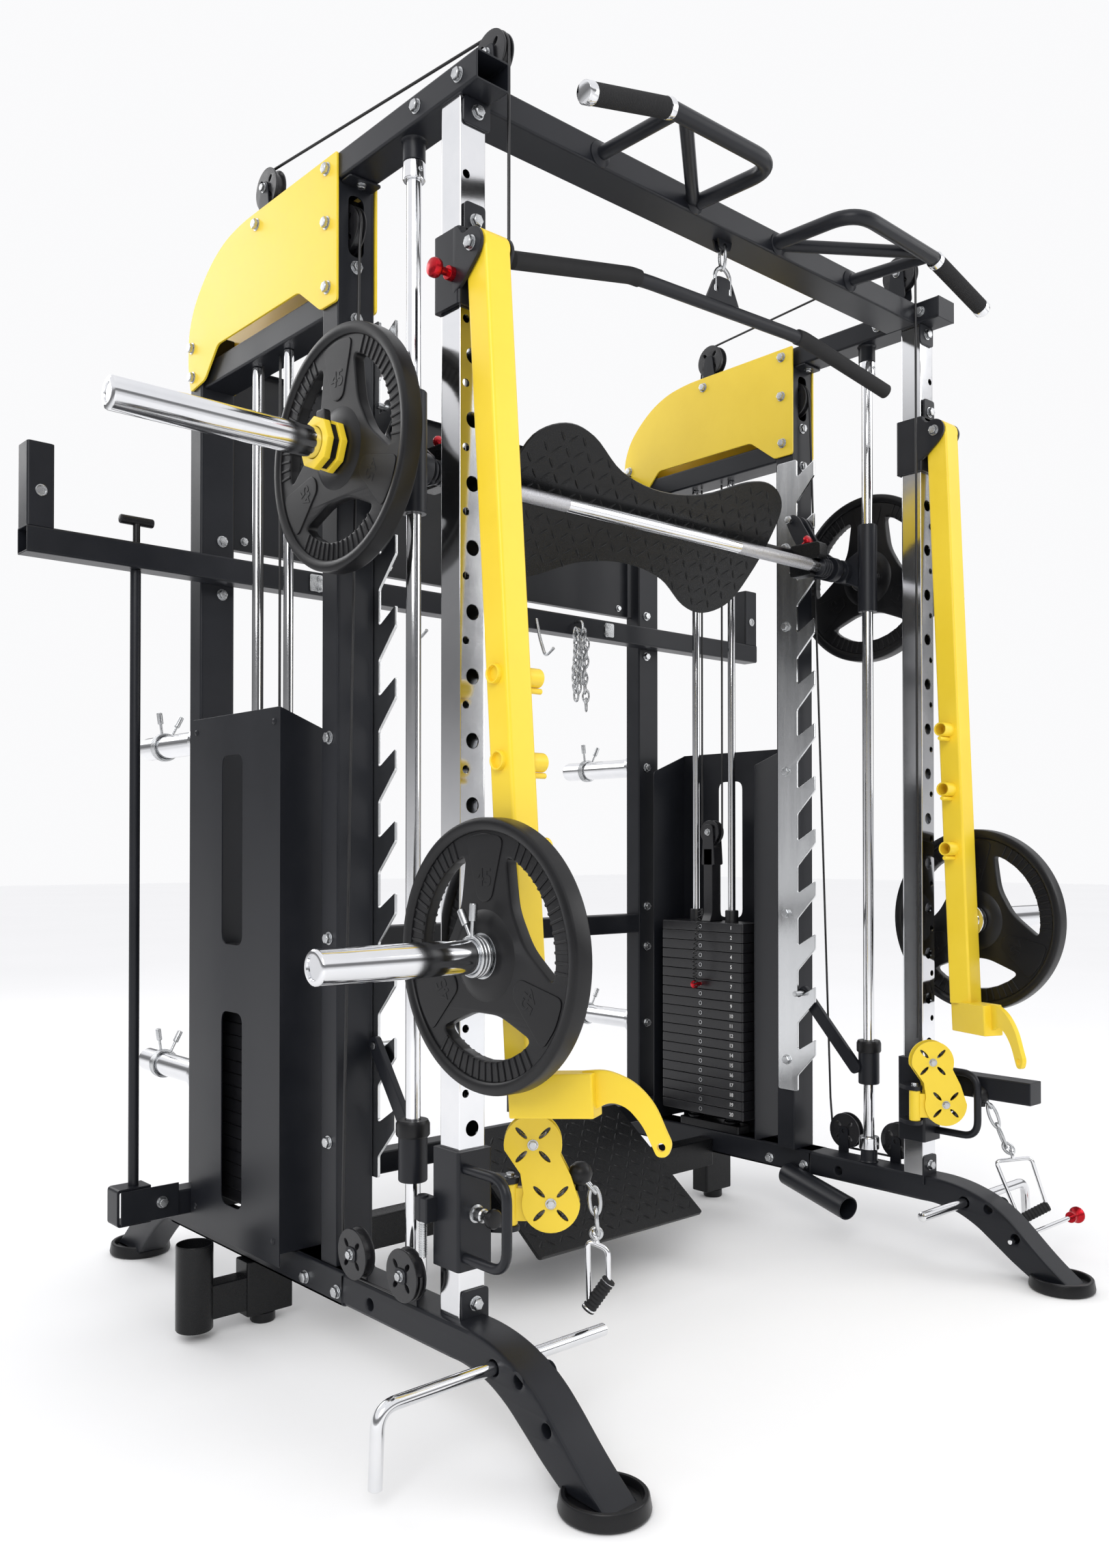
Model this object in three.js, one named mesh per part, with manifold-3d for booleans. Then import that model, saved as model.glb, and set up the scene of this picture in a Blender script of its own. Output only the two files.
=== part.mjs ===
// Smith machine with two weight stacks, lever arms and cable trolleys.
// Millimetres. +X is the right side, -Y is the front, +Z is up, floor at z = 0.
import * as THREE from 'three';
import { mergeVertices } from 'three/addons/utils/BufferGeometryUtils.js';
import Module from 'manifold-3d';

const wasm = await Module();
wasm.setup();

// ---------------------------------------------------------------- driving dimensions
const GAP = 0.3;
const WALL = 3;

// side frames, measured outward from the middle of the machine
const POST_IN = 602;
const POST_OUT = 677;
const UPRIGHT_IN = 620;
const UPRIGHT_OUT = 670;
const RAIL_IN = 620;
const RAIL_OUT = 684;
const ROD_X = 645;
const ROD_R = 12.5;

// heights
const RAIL_BOTTOM = 123;
const RAIL_TOP = 179;
const TOP_RAIL_BOTTOM = 2071;
const TOP_RAIL_TOP = 2118;
const UPRIGHT_HOLE_LOW = 369;
const UPRIGHT_HOLE_HIGH = 1669;
const RACK_TOP = 1838;
const RACK_FIRST_TIP = 1825;
const RACK_PITCH = 125;

// depths (before the whole machine is centred on its footprint)
const FRONT_FOOT_Y = -458;
const REAR_FOOT_Y = 1037;
const UPRIGHT_FRONT_Y = -157;
const UPRIGHT_BACK_Y = -107;
const MID_POST_FRONT_Y = 182;
const MID_POST_BACK_Y = 232;
const REAR_POST_FRONT_Y = 700;
const REAR_POST_BACK_Y = 750;
const MIDDLE_Y = (FRONT_FOOT_Y + REAR_FOOT_Y) / 2;

// smith bar
const BAR_Y = 60;
const BAR_Z = 1553;
const BAR_R = 14;
const SLEEVE_R = 25;
const BAR_END = 1136;
const SLEEVE_START = 690;
const CARRIAGE_BOTTOM = 1453;
const CARRIAGE_TOP = 1655;

// plates
const PLATE_R = 200;
const PLATE_THICK = 34;

// weight stacks
const STACK_X = 642.5;
const STACK_HALF_X = 46;
const STACK_FRONT_Y = 335;
const STACK_BACK_Y = 610;
const STACK_ROD_YS = [409, 530];
const STACK_ROD_R = 9.5;
const STACK_BOTTOM = 222;
const STACK_TOP = 715;
const STACK_COUNT = 20;
const STACK_LIFTED = 7;
const STACK_PITCH = (STACK_TOP - STACK_BOTTOM) / STACK_COUNT;
const STACK_SPLIT = STACK_TOP - STACK_LIFTED * STACK_PITCH;
const BLOCK_Y = 475;
const BLOCK_Z = 945;
const BLOCK_R = 32;
const CABLE_R = 2.5;
const CABLE_CLEAR = 1.5;

// pulleys
const BASE_PULLEY_X = 692;
const BASE_PULLEY_R = 42;
const BASE_REAR = { y: 95, z: 227 };
const BASE_FRONT = { y: -48, z: 227 };
const TOP_FRONT = { x: 582, y: -131, z: 2176 };
const TOP_REAR = { x: 645, y: 474, z: 2174 };
const TOP_PULLEY_R = 40;

// lever arms
const LEVER_PIVOT = { y: -195, z: 1822 };
const LEVER_LENGTH = 1255;
const LEVER_HALF = 25;
const LEVER_LEAN = { left: 4.3, right: 2.4 };
const LEVER_HORN_DROP = 1078;
const LEVER_HORN_END = 1000;
const LEVER_PLATE_IN = 688;
const LEVER_SOCKET_DROPS = [662, 792, 921];

// trolleys
const TROLLEY_BOTTOM = 254;
const TROLLEY_TOP = 437;
const SWIVEL = { x: 575, y: -165 };
const SWIVEL_LOBES = [[36, 437], [64, 345]];
const SWIVEL_LOBE_R = 46;

// lat bar
const LAT_BAR_Y = -112;

// ---------------------------------------------------------------- colours
const PAINT_BLACK = { color: 0x232428, roughness: 0.5, metalness: 0.3 };
const PAINT_YELLOW = { color: 0xe8cb35, roughness: 0.45, metalness: 0.1 };
const CHROME = { color: 0xd8dade, roughness: 0.12, metalness: 1.0 };
const STEEL = { color: 0xa9abae, roughness: 0.35, metalness: 0.9 };
const RUBBER = { color: 0x141415, roughness: 0.8, metalness: 0.0 };
const CABLE_BLACK = { color: 0x101011, roughness: 0.55, metalness: 0.0 };

// ---------------------------------------------------------------- solid helpers
const group = new THREE.Group();
group.name = 'smith_machine';

function solid(geometry) {
  const bare = new THREE.BufferGeometry();
  bare.setAttribute('position', geometry.getAttribute('position'));
  if (geometry.index) bare.setIndex(geometry.index);
  const merged = mergeVertices(bare, 1e-4);
  const triVerts = new Uint32Array(merged.index.array);
  const vertProperties = new Float32Array(merged.getAttribute('position').array);
  return new wasm.Manifold(new wasm.Mesh({ numProp: 3, vertProperties, triVerts }));
}

function join(...solids) {
  return solids.reduce((whole, next) => whole.add(next));
}

function cut(whole, ...holes) {
  return holes.reduce((left, hole) => left.subtract(hole), whole);
}

function addPart(name, shape, look) {
  const mesh = shape.getMesh();
  const geometry = new THREE.BufferGeometry();
  geometry.setAttribute('position', new THREE.BufferAttribute(new Float32Array(mesh.vertProperties), 3));
  geometry.setIndex(new THREE.BufferAttribute(new Uint32Array(mesh.triVerts), 1));
  geometry.translate(0, -MIDDLE_Y, 0);
  const flat = geometry.toNonIndexed();
  flat.computeVertexNormals();
  const part = new THREE.Mesh(flat, new THREE.MeshStandardMaterial(look));
  part.name = name;
  group.add(part);
}

// box between two x, two y and two z values; the x pair may come in either order
function box(xa, xb, ya, yb, za, zb) {
  const geometry = new THREE.BoxGeometry(Math.abs(xb - xa), Math.abs(yb - ya), Math.abs(zb - za));
  geometry.translate((xa + xb) / 2, (ya + yb) / 2, (za + zb) / 2);
  return solid(geometry);
}

function rod(axis, radius, a, b, u, v, segments = 12) {
  const geometry = new THREE.CylinderGeometry(radius, radius, Math.abs(b - a), segments);
  const middle = (a + b) / 2;
  if (axis === 'x') geometry.rotateZ(Math.PI / 2).translate(middle, u, v);
  if (axis === 'y') geometry.translate(u, middle, v);
  if (axis === 'z') geometry.rotateX(Math.PI / 2).translate(u, v, middle);
  return solid(geometry);
}

// box with a bore from end to end along one axis, as a square steel tube
function hollow(axis, xa, xb, ya, yb, za, zb) {
  const [inX, inY, inZ] = ['x', 'y', 'z'].map((name) => (name === axis ? -5 : WALL));
  const [x0, x1] = [Math.min(xa, xb), Math.max(xa, xb)];
  const bore = box(x0 + inX, x1 - inX, ya + inY, yb - inY, za + inZ, zb - inZ);
  return cut(box(xa, xb, ya, yb, za, zb), bore);
}

// plate whose outline is given as [y, z] pairs and which is thick along x
function sidePlate(outline, xa, xb) {
  const shape = new THREE.Shape(outline.map(([y, z]) => new THREE.Vector2(y, z)));
  const depth = Math.abs(xb - xa);
  const geometry = new THREE.ExtrudeGeometry(shape, { depth, bevelEnabled: false, steps: 1 });
  geometry.applyMatrix4(new THREE.Matrix4().set(
    0, 0, 1, Math.min(xa, xb),
    1, 0, 0, 0,
    0, 1, 0, 0,
    0, 0, 0, 1,
  ));
  return solid(geometry);
}

// a curve through ready-made points, so that a tube gets rings only where it needs them
class PointPath extends THREE.Curve {
  constructor(points) {
    super();
    this.points = points;
  }

  getPointAt(t) {
    return this.points[Math.round(t * (this.points.length - 1))].clone();
  }

  getTangentAt(t) {
    const last = this.points.length - 1;
    const i = Math.round(t * last);
    const before = this.points[Math.max(i - 1, 0)];
    const here = this.points[i];
    const after = this.points[Math.min(i + 1, last)];
    const into = here.clone().sub(before).normalize();
    const out = after.clone().sub(here).normalize();
    return into.add(out).normalize();
  }
}

function tube(points, radius, segments = 8) {
  const ring = [];
  for (let i = 0; i < segments; i += 1) {
    const angle = (2 * Math.PI * i) / segments;
    ring.push(new THREE.Vector2(radius * Math.cos(angle), radius * Math.sin(angle)));
  }
  const path = new PointPath(points);
  const steps = points.length - 1;
  const geometry = new THREE.ExtrudeGeometry(new THREE.Shape(ring), { steps, extrudePath: path });
  return solid(geometry);
}

// corner points turned into round bends
function bends(corners, radius, stepsPerBend = 4) {
  const given = corners.map(([x, y, z]) => new THREE.Vector3(x, y, z));
  const out = [given[0]];
  for (let i = 1; i < given.length - 1; i += 1) {
    const back = given[i - 1].clone().sub(given[i]);
    const ahead = given[i + 1].clone().sub(given[i]);
    const reach = Math.min(radius, back.length() * 0.45, ahead.length() * 0.45);
    const start = given[i].clone().addScaledVector(back.normalize(), reach);
    const end = given[i].clone().addScaledVector(ahead.normalize(), reach);
    const curve = new THREE.QuadraticBezierCurve3(start, given[i], end);
    out.push(...curve.getPoints(stepsPerBend));
  }
  out.push(given[given.length - 1]);
  return out;
}

// points round a pulley that turns about x; angles in degrees from +y towards +z
function roundPulley(x, centre, radius, from, to, steps = 6) {
  const out = [];
  for (let i = 0; i <= steps; i += 1) {
    const angle = THREE.MathUtils.degToRad(from + ((to - from) * i) / steps);
    out.push([x, centre.y + radius * Math.cos(angle), centre.z + radius * Math.sin(angle)]);
  }
  return out;
}

function asPoints(list) {
  return list.map(([x, y, z]) => new THREE.Vector3(x, y, z));
}

// turn a solid about an x axis that passes through (y, z)
function swing(shape, degrees, y, z) {
  return shape.translate([0, -y, -z]).rotate([degrees, 0, 0]).translate([0, y, z]);
}

// ---------------------------------------------------------------- side frames
function baseRail(s) {
  const outline = [
    [-493, 14], [-425, 61], [-376, 110], [-340, 138], [-300, 158], [-250, 173], [-195, RAIL_TOP],
    [870, RAIL_TOP], [915, 163], [1085, 14], [975, 14], [875, 105], [840, RAIL_BOTTOM],
    [-185, RAIL_BOTTOM], [-235, 116], [-280, 97], [-318, 72], [-412, 14],
  ];
  let rail = sidePlate(outline, s * RAIL_IN, s * RAIL_OUT);
  const holes = [[-255, 140, 11], [-311, 137, 9], [-372, 93, 9], [69, 146, 9]];
  rail = cut(rail, ...holes.map(([y, z, r]) => rod('x', r, s * 600, s * 700, y, z, 8)));
  const feet = [FRONT_FOOT_Y, REAR_FOOT_Y].map((y) => rod('z', 65, 0, 26, s * 652, y, 20));
  const pulleys = [BASE_REAR, BASE_FRONT].flatMap(({ y, z }) => [
    rod('x', BASE_PULLEY_R, s * (BASE_PULLEY_X - 13), s * (BASE_PULLEY_X + 13), y, z, 14),
    box(s * (RAIL_OUT - 8), s * (BASE_PULLEY_X - 5), y - 20, y + 20, 150, z),
  ]);
  return join(rail, ...feet, ...pulleys);
}

// open tube welded low on the right rail; a bar end is pushed into it
function landmineTube() {
  const outer = rod('y', 27, -110, 110, 0, 0, 14);
  const bore = rod('y', 24, -120, 95, 0, 0, 14);
  return cut(outer, bore).rotate([8, 0, -14]).translate([587, 105, 100]);
}

function topRail(s) {
  const rail = hollow('y', s * 612, s * POST_OUT, -206, 560, TOP_RAIL_BOTTOM, TOP_RAIL_TOP);
  const wheel = rod('x', TOP_PULLEY_R, s * 632, s * 658, TOP_REAR.y, TOP_REAR.z, 14);
  const foot = box(s * 632, s * 658, TOP_REAR.y - 18, TOP_REAR.y + 18, TOP_RAIL_TOP - 5, TOP_REAR.z);
  return join(rail, wheel, foot);
}

function frontUpright(s) {
  const post = hollow('z', s * UPRIGHT_IN, s * UPRIGHT_OUT, UPRIGHT_FRONT_Y, UPRIGHT_BACK_Y,
    RAIL_TOP + GAP, TOP_RAIL_BOTTOM - GAP);
  const holes = [];
  for (let z = UPRIGHT_HOLE_LOW; z <= UPRIGHT_HOLE_HIGH; z += 100) {
    holes.push(rod('y', 12.5, UPRIGHT_FRONT_Y - 5, UPRIGHT_FRONT_Y + 12, s * 645, z, 8));
  }
  return cut(post, ...holes);
}

function middlePost(s) {
  const post = hollow('z', s * POST_IN, s * POST_OUT, MID_POST_FRONT_Y, MID_POST_BACK_Y,
    RAIL_TOP + GAP, TOP_RAIL_BOTTOM - GAP);
  const slot = box(s * 624, s * 656, MID_POST_FRONT_Y - 5, MID_POST_BACK_Y + 5, 1960, 2036);
  const ends = [1960, 2036].map((z) => rod('y', 16, MID_POST_FRONT_Y - 5, MID_POST_BACK_Y + 5, s * 640, z, 10));
  return cut(post, slot, ...ends);
}

// the two rear posts, the beam welded between them and four plate storage horns on their backs
function rearFrame() {
  const beam = box(-POST_IN - 2, POST_IN + 2, REAR_POST_FRONT_Y, REAR_POST_BACK_Y, 675, 725);
  const bore = box(-POST_IN - 8, POST_IN + 8, REAR_POST_FRONT_Y + WALL, REAR_POST_BACK_Y - WALL,
    675 + WALL, 725 - WALL);
  const sides = [-1, 1].flatMap((s) => {
    const post = hollow('z', s * POST_IN, s * POST_OUT, REAR_POST_FRONT_Y, REAR_POST_BACK_Y,
      RAIL_TOP + GAP, 1960);
    const horns = [430, 1125].flatMap((z) => [
      rod('y', SLEEVE_R, REAR_POST_BACK_Y - 5, 1025, s * 640, z, 14),
      rod('y', 37, REAR_POST_BACK_Y - 4, REAR_POST_BACK_Y + 12, s * 640, z, 14),
    ]);
    return [post, ...horns];
  });
  return cut(join(beam, ...sides), bore);
}

function gussetOutline() {
  return [
    [179, 2117], [179, 1855], [234, 1855], [309, 1911], [622, 1911], [678, 1855], [740, 1846],
    [750, 1900], [750, 1962], [730, 2010], [698, 2045], [650, 2082], [591, 2107], [520, 2117],
  ];
}

// header rail that carries the stack rods, with the inner gusset plate on its inner face
function headerRail(s) {
  const rail = hollow('y', s * POST_IN, s * 670, MID_POST_BACK_Y + GAP, REAR_POST_FRONT_Y - GAP, 1846, 1896);
  const plate = sidePlate(gussetOutline(), s * (POST_IN - GAP), s * (POST_IN - 5));
  const seams = [[236, 250], [680, 696]].map(([ya, yb]) => (
    box(s * (POST_IN + 3), s * (POST_IN - 4), ya, yb, 1868, 1892)
  ));
  return join(rail, plate, ...seams);
}

function gussetOuter(s) {
  return sidePlate(gussetOutline(), s * (POST_OUT + GAP), s * (POST_OUT + 5));
}

function guideRod(s) {
  const shaft = rod('z', ROD_R, RAIL_TOP + GAP, TOP_RAIL_BOTTOM - GAP, s * ROD_X, 0, 14);
  const topSocket = rod('z', 19, 2036, TOP_RAIL_BOTTOM - GAP, s * ROD_X, 0, 14);
  const collar = rod('z', 19, 2004, 2034, s * ROD_X, 0, 14);
  const cup = rod('z', 19, RAIL_TOP + GAP, 208, s * ROD_X, 0, 14);
  const ring = rod('z', 23, 207, 236, s * ROD_X, 0, 14);
  return join(shaft, topSocket, collar, cup, ring);
}

function stackGuides(s) {
  const rods = STACK_ROD_YS.map((y) => rod('z', STACK_ROD_R, 190, 1846 - GAP, s * STACK_X, y, 10));
  const foot = box(s * 620, s * 670, 370, 570, RAIL_TOP + GAP, 200);
  const buffers = STACK_ROD_YS.map((y) => rod('z', 17, 195, STACK_BOTTOM - GAP, s * STACK_X, y, 10));
  return join(...rods, foot, ...buffers);
}

// saw-toothed rack for the bar hooks and safety stops, flat against the inner face of the post
function rackPlate(s) {
  const outline = [[224, 322], [224, RACK_TOP], [167, RACK_TOP]];
  for (let tip = RACK_FIRST_TIP; tip > 400; tip -= RACK_PITCH) {
    outline.push([167, tip - 23], [159, tip - 31], [116, tip], [116, tip - 36], [167, tip - 90]);
  }
  outline.push([167, 322]);
  return sidePlate(outline, s * (POST_IN - GAP), s * (POST_IN - 6));
}

// folded sheet cover round the outside of the stack, with two long windows
function shroud(s) {
  const face = box(s * 719, s * 721.5, 299, 645, 157, 1155);
  const sloped = [[0, 182], [0, 1108], [121, 1155], [121, 182]];
  const flange = (y) => {
    const shape = new THREE.Shape(sloped.map(([x, z]) => new THREE.Vector2(x, z)));
    const geometry = new THREE.ExtrudeGeometry(shape, { depth: 2.5, bevelEnabled: false, steps: 1 });
    geometry.rotateX(Math.PI / 2).translate(600, y + 2.5, 0);
    const sheet = solid(geometry);
    return s > 0 ? sheet : sheet.mirror([1, 0, 0]);
  };
  const window = (za, zb) => {
    const outline = [
      [444, za + 22], [462, za], [482, za], [500, za + 22],
      [500, zb - 22], [482, zb], [462, zb], [444, zb - 22],
    ];
    return sidePlate(outline, s * 700, s * 740);
  };
  return cut(join(face, flange(299), flange(642.5)), window(225, 592), window(724, 1079));
}

// L-shaped peg pushed through the leg of the base rail
function legPeg(s) {
  const corners = [[s * 458, -255, 140], [s * 884, -255, 140], [s * 890, -257, 30]];
  return tube(bends(corners, 26, 4), 10, 10);
}

// ---------------------------------------------------------------- cross members
// pull-up beam with the two handles welded to its front face
function frontTopBeam() {
  let beam = hollow('x', -612 + GAP, 612 - GAP, -150, -73, TOP_RAIL_BOTTOM, TOP_RAIL_TOP);
  for (const s of [-1, 1]) {
    const grip = [[s * 576, -335, 2031], [s * 385, -335, 2081], [s * 117, -337, 2085], [s * 117, -145, 2092]];
    const brace = [[s * 363, -145, 2092], [s * 370, -335, 2082]];
    const strut = [[s * 123, -146, 2092], [s * 350, -335, 2082]];
    const wheel = rod('x', TOP_PULLEY_R, s * 570, s * 594, TOP_FRONT.y, TOP_FRONT.z, 14);
    const foot = box(s * 570, s * 594, TOP_FRONT.y - 15, TOP_FRONT.y + 25, TOP_RAIL_TOP - 5, TOP_FRONT.z);
    beam = join(beam, tube(bends(grip, 60, 3), 15, 10), tube(asPoints(brace), 12, 8),
      tube(asPoints(strut), 12, 8), wheel, foot);
  }
  return beam;
}

function rearMidBeam() {
  const beam = hollow('x', -1042, 1042, 650, REAR_POST_FRONT_Y - GAP, 1445, 1495);
  const ends = [-1, 1].map((s) => {
    const post = box(s * 992, s * 1042, 650, REAR_POST_FRONT_Y - GAP, 1490, 1650);
    return cut(post, rod('y', 9, 640, 710, s * 1017, 1560, 8));
  });
  return join(beam, ...ends);
}

function signPanel() {
  const face = box(-596, 596, 738, 740, 1530, 1920);
  const folds = [1530, 1918].map((z) => box(-596, 596, 722, 740, z, z + 2));
  return join(face, ...folds);
}

// rear base beam with the cup and thin rod that keep elastic bands, on its left end
function rearBaseBeam() {
  const beam = hollow('x', -805, 805, 650, REAR_POST_FRONT_Y - GAP, RAIL_TOP + GAP, 229);
  const cup = join(
    box(-868, -862, 652, 698, 178, 250),
    box(-868, -800, 652, 698, 178, 184),
    box(-868, -800, 652, 698, 244, 250),
  );
  const bandRod = rod('z', 10, 240, 1445 - GAP, -826, 675, 14);
  return join(beam, cup, bandRod);
}

// low cross frame: beam, two legs on small feet, bar holder on the left and the sloping foot plate
function lowCrossFrame() {
  const beam = box(-RAIL_IN + GAP, RAIL_IN - GAP, 452, 498, 90, 158);
  const legs = [-1, 1].flatMap((s) => [
    box(s * 600, s * 697, 458, 508, 20, RAIL_BOTTOM - GAP),
    rod('z', 24, 0, 25, s * 652, 483, 12),
  ]);
  const arm = box(-780, -690, 462, 504, 32, 95);
  const holder = cut(rod('z', 34, 17, 174, -792, 483, 18), rod('z', 31, 22, 180, -792, 483, 18));
  const armEnd = rod('z', 31.5, 10, 200, -792, 483, 18);
  const slope = THREE.MathUtils.radToDeg(Math.atan2(300 - 105, 420 - 150));
  const length = Math.hypot(300 - 105, 420 - 150);
  const plate = box(-237, 237, 0, length, -8, 0).rotate([slope, 0, 0]).translate([0, 150, 107]);
  const ribs = [-150, 150].map((x) => sidePlate(
    [[456, 95], [456, 150], [415, 293], [385, 271], [250, 174], [235, 148]], x - 15, x + 15,
  ));
  return join(beam, ...legs, cut(arm, armEnd), holder, plate, ...ribs);
}

// ---------------------------------------------------------------- weight stacks and cables
function stackPlates(s, bottom, top, count) {
  const plates = [];
  const pitch = (top - bottom) / count;
  for (let i = 0; i < count; i += 1) {
    const z = bottom + i * pitch;
    plates.push(box(s * (STACK_X - STACK_HALF_X), s * (STACK_X + STACK_HALF_X),
      STACK_FRONT_Y, STACK_BACK_Y, z, z + pitch - 2));
  }
  const core = box(s * (STACK_X - STACK_HALF_X + 3), s * (STACK_X + STACK_HALF_X - 3),
    STACK_FRONT_Y + 3, STACK_BACK_Y - 3, bottom, top - 2);
  return join(core, ...plates);
}

function stackBores(s) {
  return STACK_ROD_YS.map((y) => rod('z', STACK_ROD_R + 1.2, 150, 900, s * STACK_X, y, 10));
}

function restingStack(s) {
  const stemBore = rod('z', 14, 200, 600, s * STACK_X, BLOCK_Y, 10);
  return cut(stackPlates(s, STACK_BOTTOM, STACK_SPLIT - GAP, STACK_COUNT - STACK_LIFTED),
    ...stackBores(s), stemBore);
}

// top plates with selector stem and pulley block
function liftedStack(s) {
  const plates = cut(stackPlates(s, STACK_SPLIT, STACK_TOP, STACK_LIFTED), ...stackBores(s));
  const stem = rod('z', 12, 520, 820, s * STACK_X, BLOCK_Y, 10);
  const root = box(s * (STACK_X - 17), s * (STACK_X + 17), BLOCK_Y - 20, BLOCK_Y + 20, 812, 895);
  const cheeks = [-1, 1].map((c) => (
    box(s * STACK_X + c * 13, s * STACK_X + c * 17, BLOCK_Y - 20, BLOCK_Y + 20, 890, BLOCK_Z + 18)
  ));
  const wheel = rod('x', BLOCK_R, s * (STACK_X - 14), s * (STACK_X + 14), BLOCK_Y, BLOCK_Z, 16);
  const guides = STACK_ROD_YS.map((y) => cut(
    rod('z', 17, STACK_TOP - 4, STACK_TOP + 32, s * STACK_X, y, 10),
    rod('z', STACK_ROD_R + 1.2, 150, 900, s * STACK_X, y, 10),
  ));
  return join(plates, stem, root, ...cheeks, wheel, ...guides);
}

// the loop of cable that hangs round the pulley block
function stackCable(s) {
  const reach = BLOCK_R + CABLE_R + CABLE_CLEAR;
  const loop = roundPulley(s * STACK_X, { y: BLOCK_Y, z: BLOCK_Z }, reach, 180, 360, 8);
  const top = 1846 - 2;
  const points = [[s * STACK_X, BLOCK_Y - reach, top], ...loop, [s * STACK_X, BLOCK_Y + reach, top]];
  return tube(asPoints(points), CABLE_R, 6);
}

// the run held by the frame: base pulleys and up to the slot in the middle post
function frameCable(s) {
  const low = BASE_PULLEY_R + CABLE_R + CABLE_CLEAR;
  const points = [
    [s * BASE_PULLEY_X, BASE_FRONT.y - low, 243],
    ...roundPulley(s * BASE_PULLEY_X, BASE_FRONT, low, 180, 270, 4),
    ...roundPulley(s * BASE_PULLEY_X, BASE_REAR, low, 270, 360, 4),
    [s * 640, 147, 1985],
    [s * 640, 160, 2020],
  ];
  return tube(asPoints(points), CABLE_R, 6);
}

// the run over the two top pulleys, down into the gusset at the back
function topCable(s) {
  const reach = TOP_PULLEY_R + CABLE_R + CABLE_CLEAR;
  const points = [
    ...roundPulley(s * TOP_FRONT.x, TOP_FRONT, reach, 180, 90, 4),
    ...roundPulley(s * TOP_REAR.x, TOP_REAR, reach, 90, 30, 3),
  ];
  return tube(asPoints(points), CABLE_R, 6);
}

// the straight run from the front top pulley down to the trolley
function trolleyCable(s) {
  const y = TOP_FRONT.y - TOP_PULLEY_R - CABLE_R - CABLE_CLEAR;
  return rod('z', CABLE_R, 490, TOP_FRONT.z - 3, s * TOP_FRONT.x, y, 6);
}

// ---------------------------------------------------------------- smith bar
function smithBar() {
  const shaft = rod('x', BAR_R, -SLEEVE_START, SLEEVE_START, BAR_Y, BAR_Z, 14);
  const sides = [-1, 1].flatMap((s) => [
    rod('x', SLEEVE_R, s * SLEEVE_START, s * BAR_END, BAR_Y, BAR_Z, 16),
    rod('x', 34, s * 706, s * 725, BAR_Y, BAR_Z, 16),
    rod('x', 22, s * 582, s * 606, BAR_Y, BAR_Z, 14),
    sidePlate([[70, 1536], [70, 1570], [104, 1586], [140, 1614], [152, 1600], [118, 1560]],
      s * 585, s * 594),
  ]);
  return join(shaft, ...sides);
}

function smithCarriage(s) {
  const sleeve = rod('z', 22, CARRIAGE_BOTTOM, CARRIAGE_TOP, s * ROD_X, 0, 16);
  const boss = rod('x', 27, s * 618, s * 672, BAR_Y, BAR_Z, 16);
  const web = box(s * 628, s * 662, 0, BAR_Y, BAR_Z - 24, BAR_Z + 24);
  return cut(join(sleeve, boss, web),
    rod('z', ROD_R + 0.8, 1400, 1700, s * ROD_X, 0, 14),
    rod('x', BAR_R + 0.8, s * 600, s * 690, BAR_Y, BAR_Z, 14));
}

// round plate with three hand windows, its axle along x through (y, z)
function gripPlate(s, start, y, z, bore) {
  let plate = rod('x', PLATE_R, s * start, s * (start + PLATE_THICK), y, z, 32);
  for (let i = 0; i < 3; i += 1) {
    const outline = [];
    for (let k = 0; k <= 4; k += 1) {
      const angle = THREE.MathUtils.degToRad(-42 + 21 * k);
      outline.push([163 * Math.cos(angle), 163 * Math.sin(angle)]);
    }
    outline.push([98, 66], [84, 30], [84, -30], [98, -66]);
    const window = sidePlate(outline, s * (start - 5), s * (start + PLATE_THICK + 5));
    plate = cut(plate, window.rotate([30 + 120 * i, 0, 0]).translate([0, y, z]));
  }
  return cut(plate, rod('x', bore, s * (start - 5), s * (start + PLATE_THICK + 5), y, z, 16));
}

// tilted foot plate on a cross tube that is clamped to the bar
function pressPlate() {
  const outline = new THREE.Shape();
  const corners = [
    [-378, 40], [-360, 120], [-300, 158], [-225, 150], [-120, 100], [0, 82], [120, 100], [225, 150],
    [300, 158], [360, 120], [378, 40], [378, -40], [360, -120], [300, -158], [225, -150],
    [120, -100], [0, -82], [-120, -100], [-225, -150], [-300, -158], [-360, -120], [-378, -40],
  ];
  outline.setFromPoints(corners.map(([x, y]) => new THREE.Vector2(x, y)));
  const sheet = solid(new THREE.ExtrudeGeometry(outline, { depth: 6, bevelEnabled: false, steps: 1 }));
  const tilted = sheet.rotate([129, 0, 0]).translate([0, 106, 1562]);
  const tubeBeam = box(-545, 545, 118, 148, 1570, 1600);
  const clamps = [-1, 1].map((s) => cut(
    box(s * 515, s * 545, 38, 125, 1533, 1608),
    rod('x', BAR_R + 0.8, s * 500, s * 560, BAR_Y, BAR_Z, 14),
    box(s * 500, s * 560, 20, BAR_Y, BAR_Z - BAR_R - 0.8, BAR_Z + BAR_R + 0.8),
  ));
  const pads = [-1, 1].map((s) => box(s * 80, s * 140, 97, 125, 1566, 1590));
  return join(tilted, ...pads, tubeBeam, ...clamps);
}

function safetyStop(s) {
  const collar = rod('z', 24, 358, 432, s * ROD_X, 0, 14);
  const cap = rod('z', 28, 430, 458, s * ROD_X, 0, 14);
  const arm = tube(asPoints([[s * 629, 6, 385], [s * 585, 60, 420], [s * 585, 156, 550]]), 9, 6);
  const pin = rod('x', 7, s * 580, s * 595.5, 157, 556, 8);
  return cut(join(collar, cap, arm, pin), rod('z', ROD_R + 0.8, 300, 500, s * ROD_X, 0, 14));
}

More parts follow.
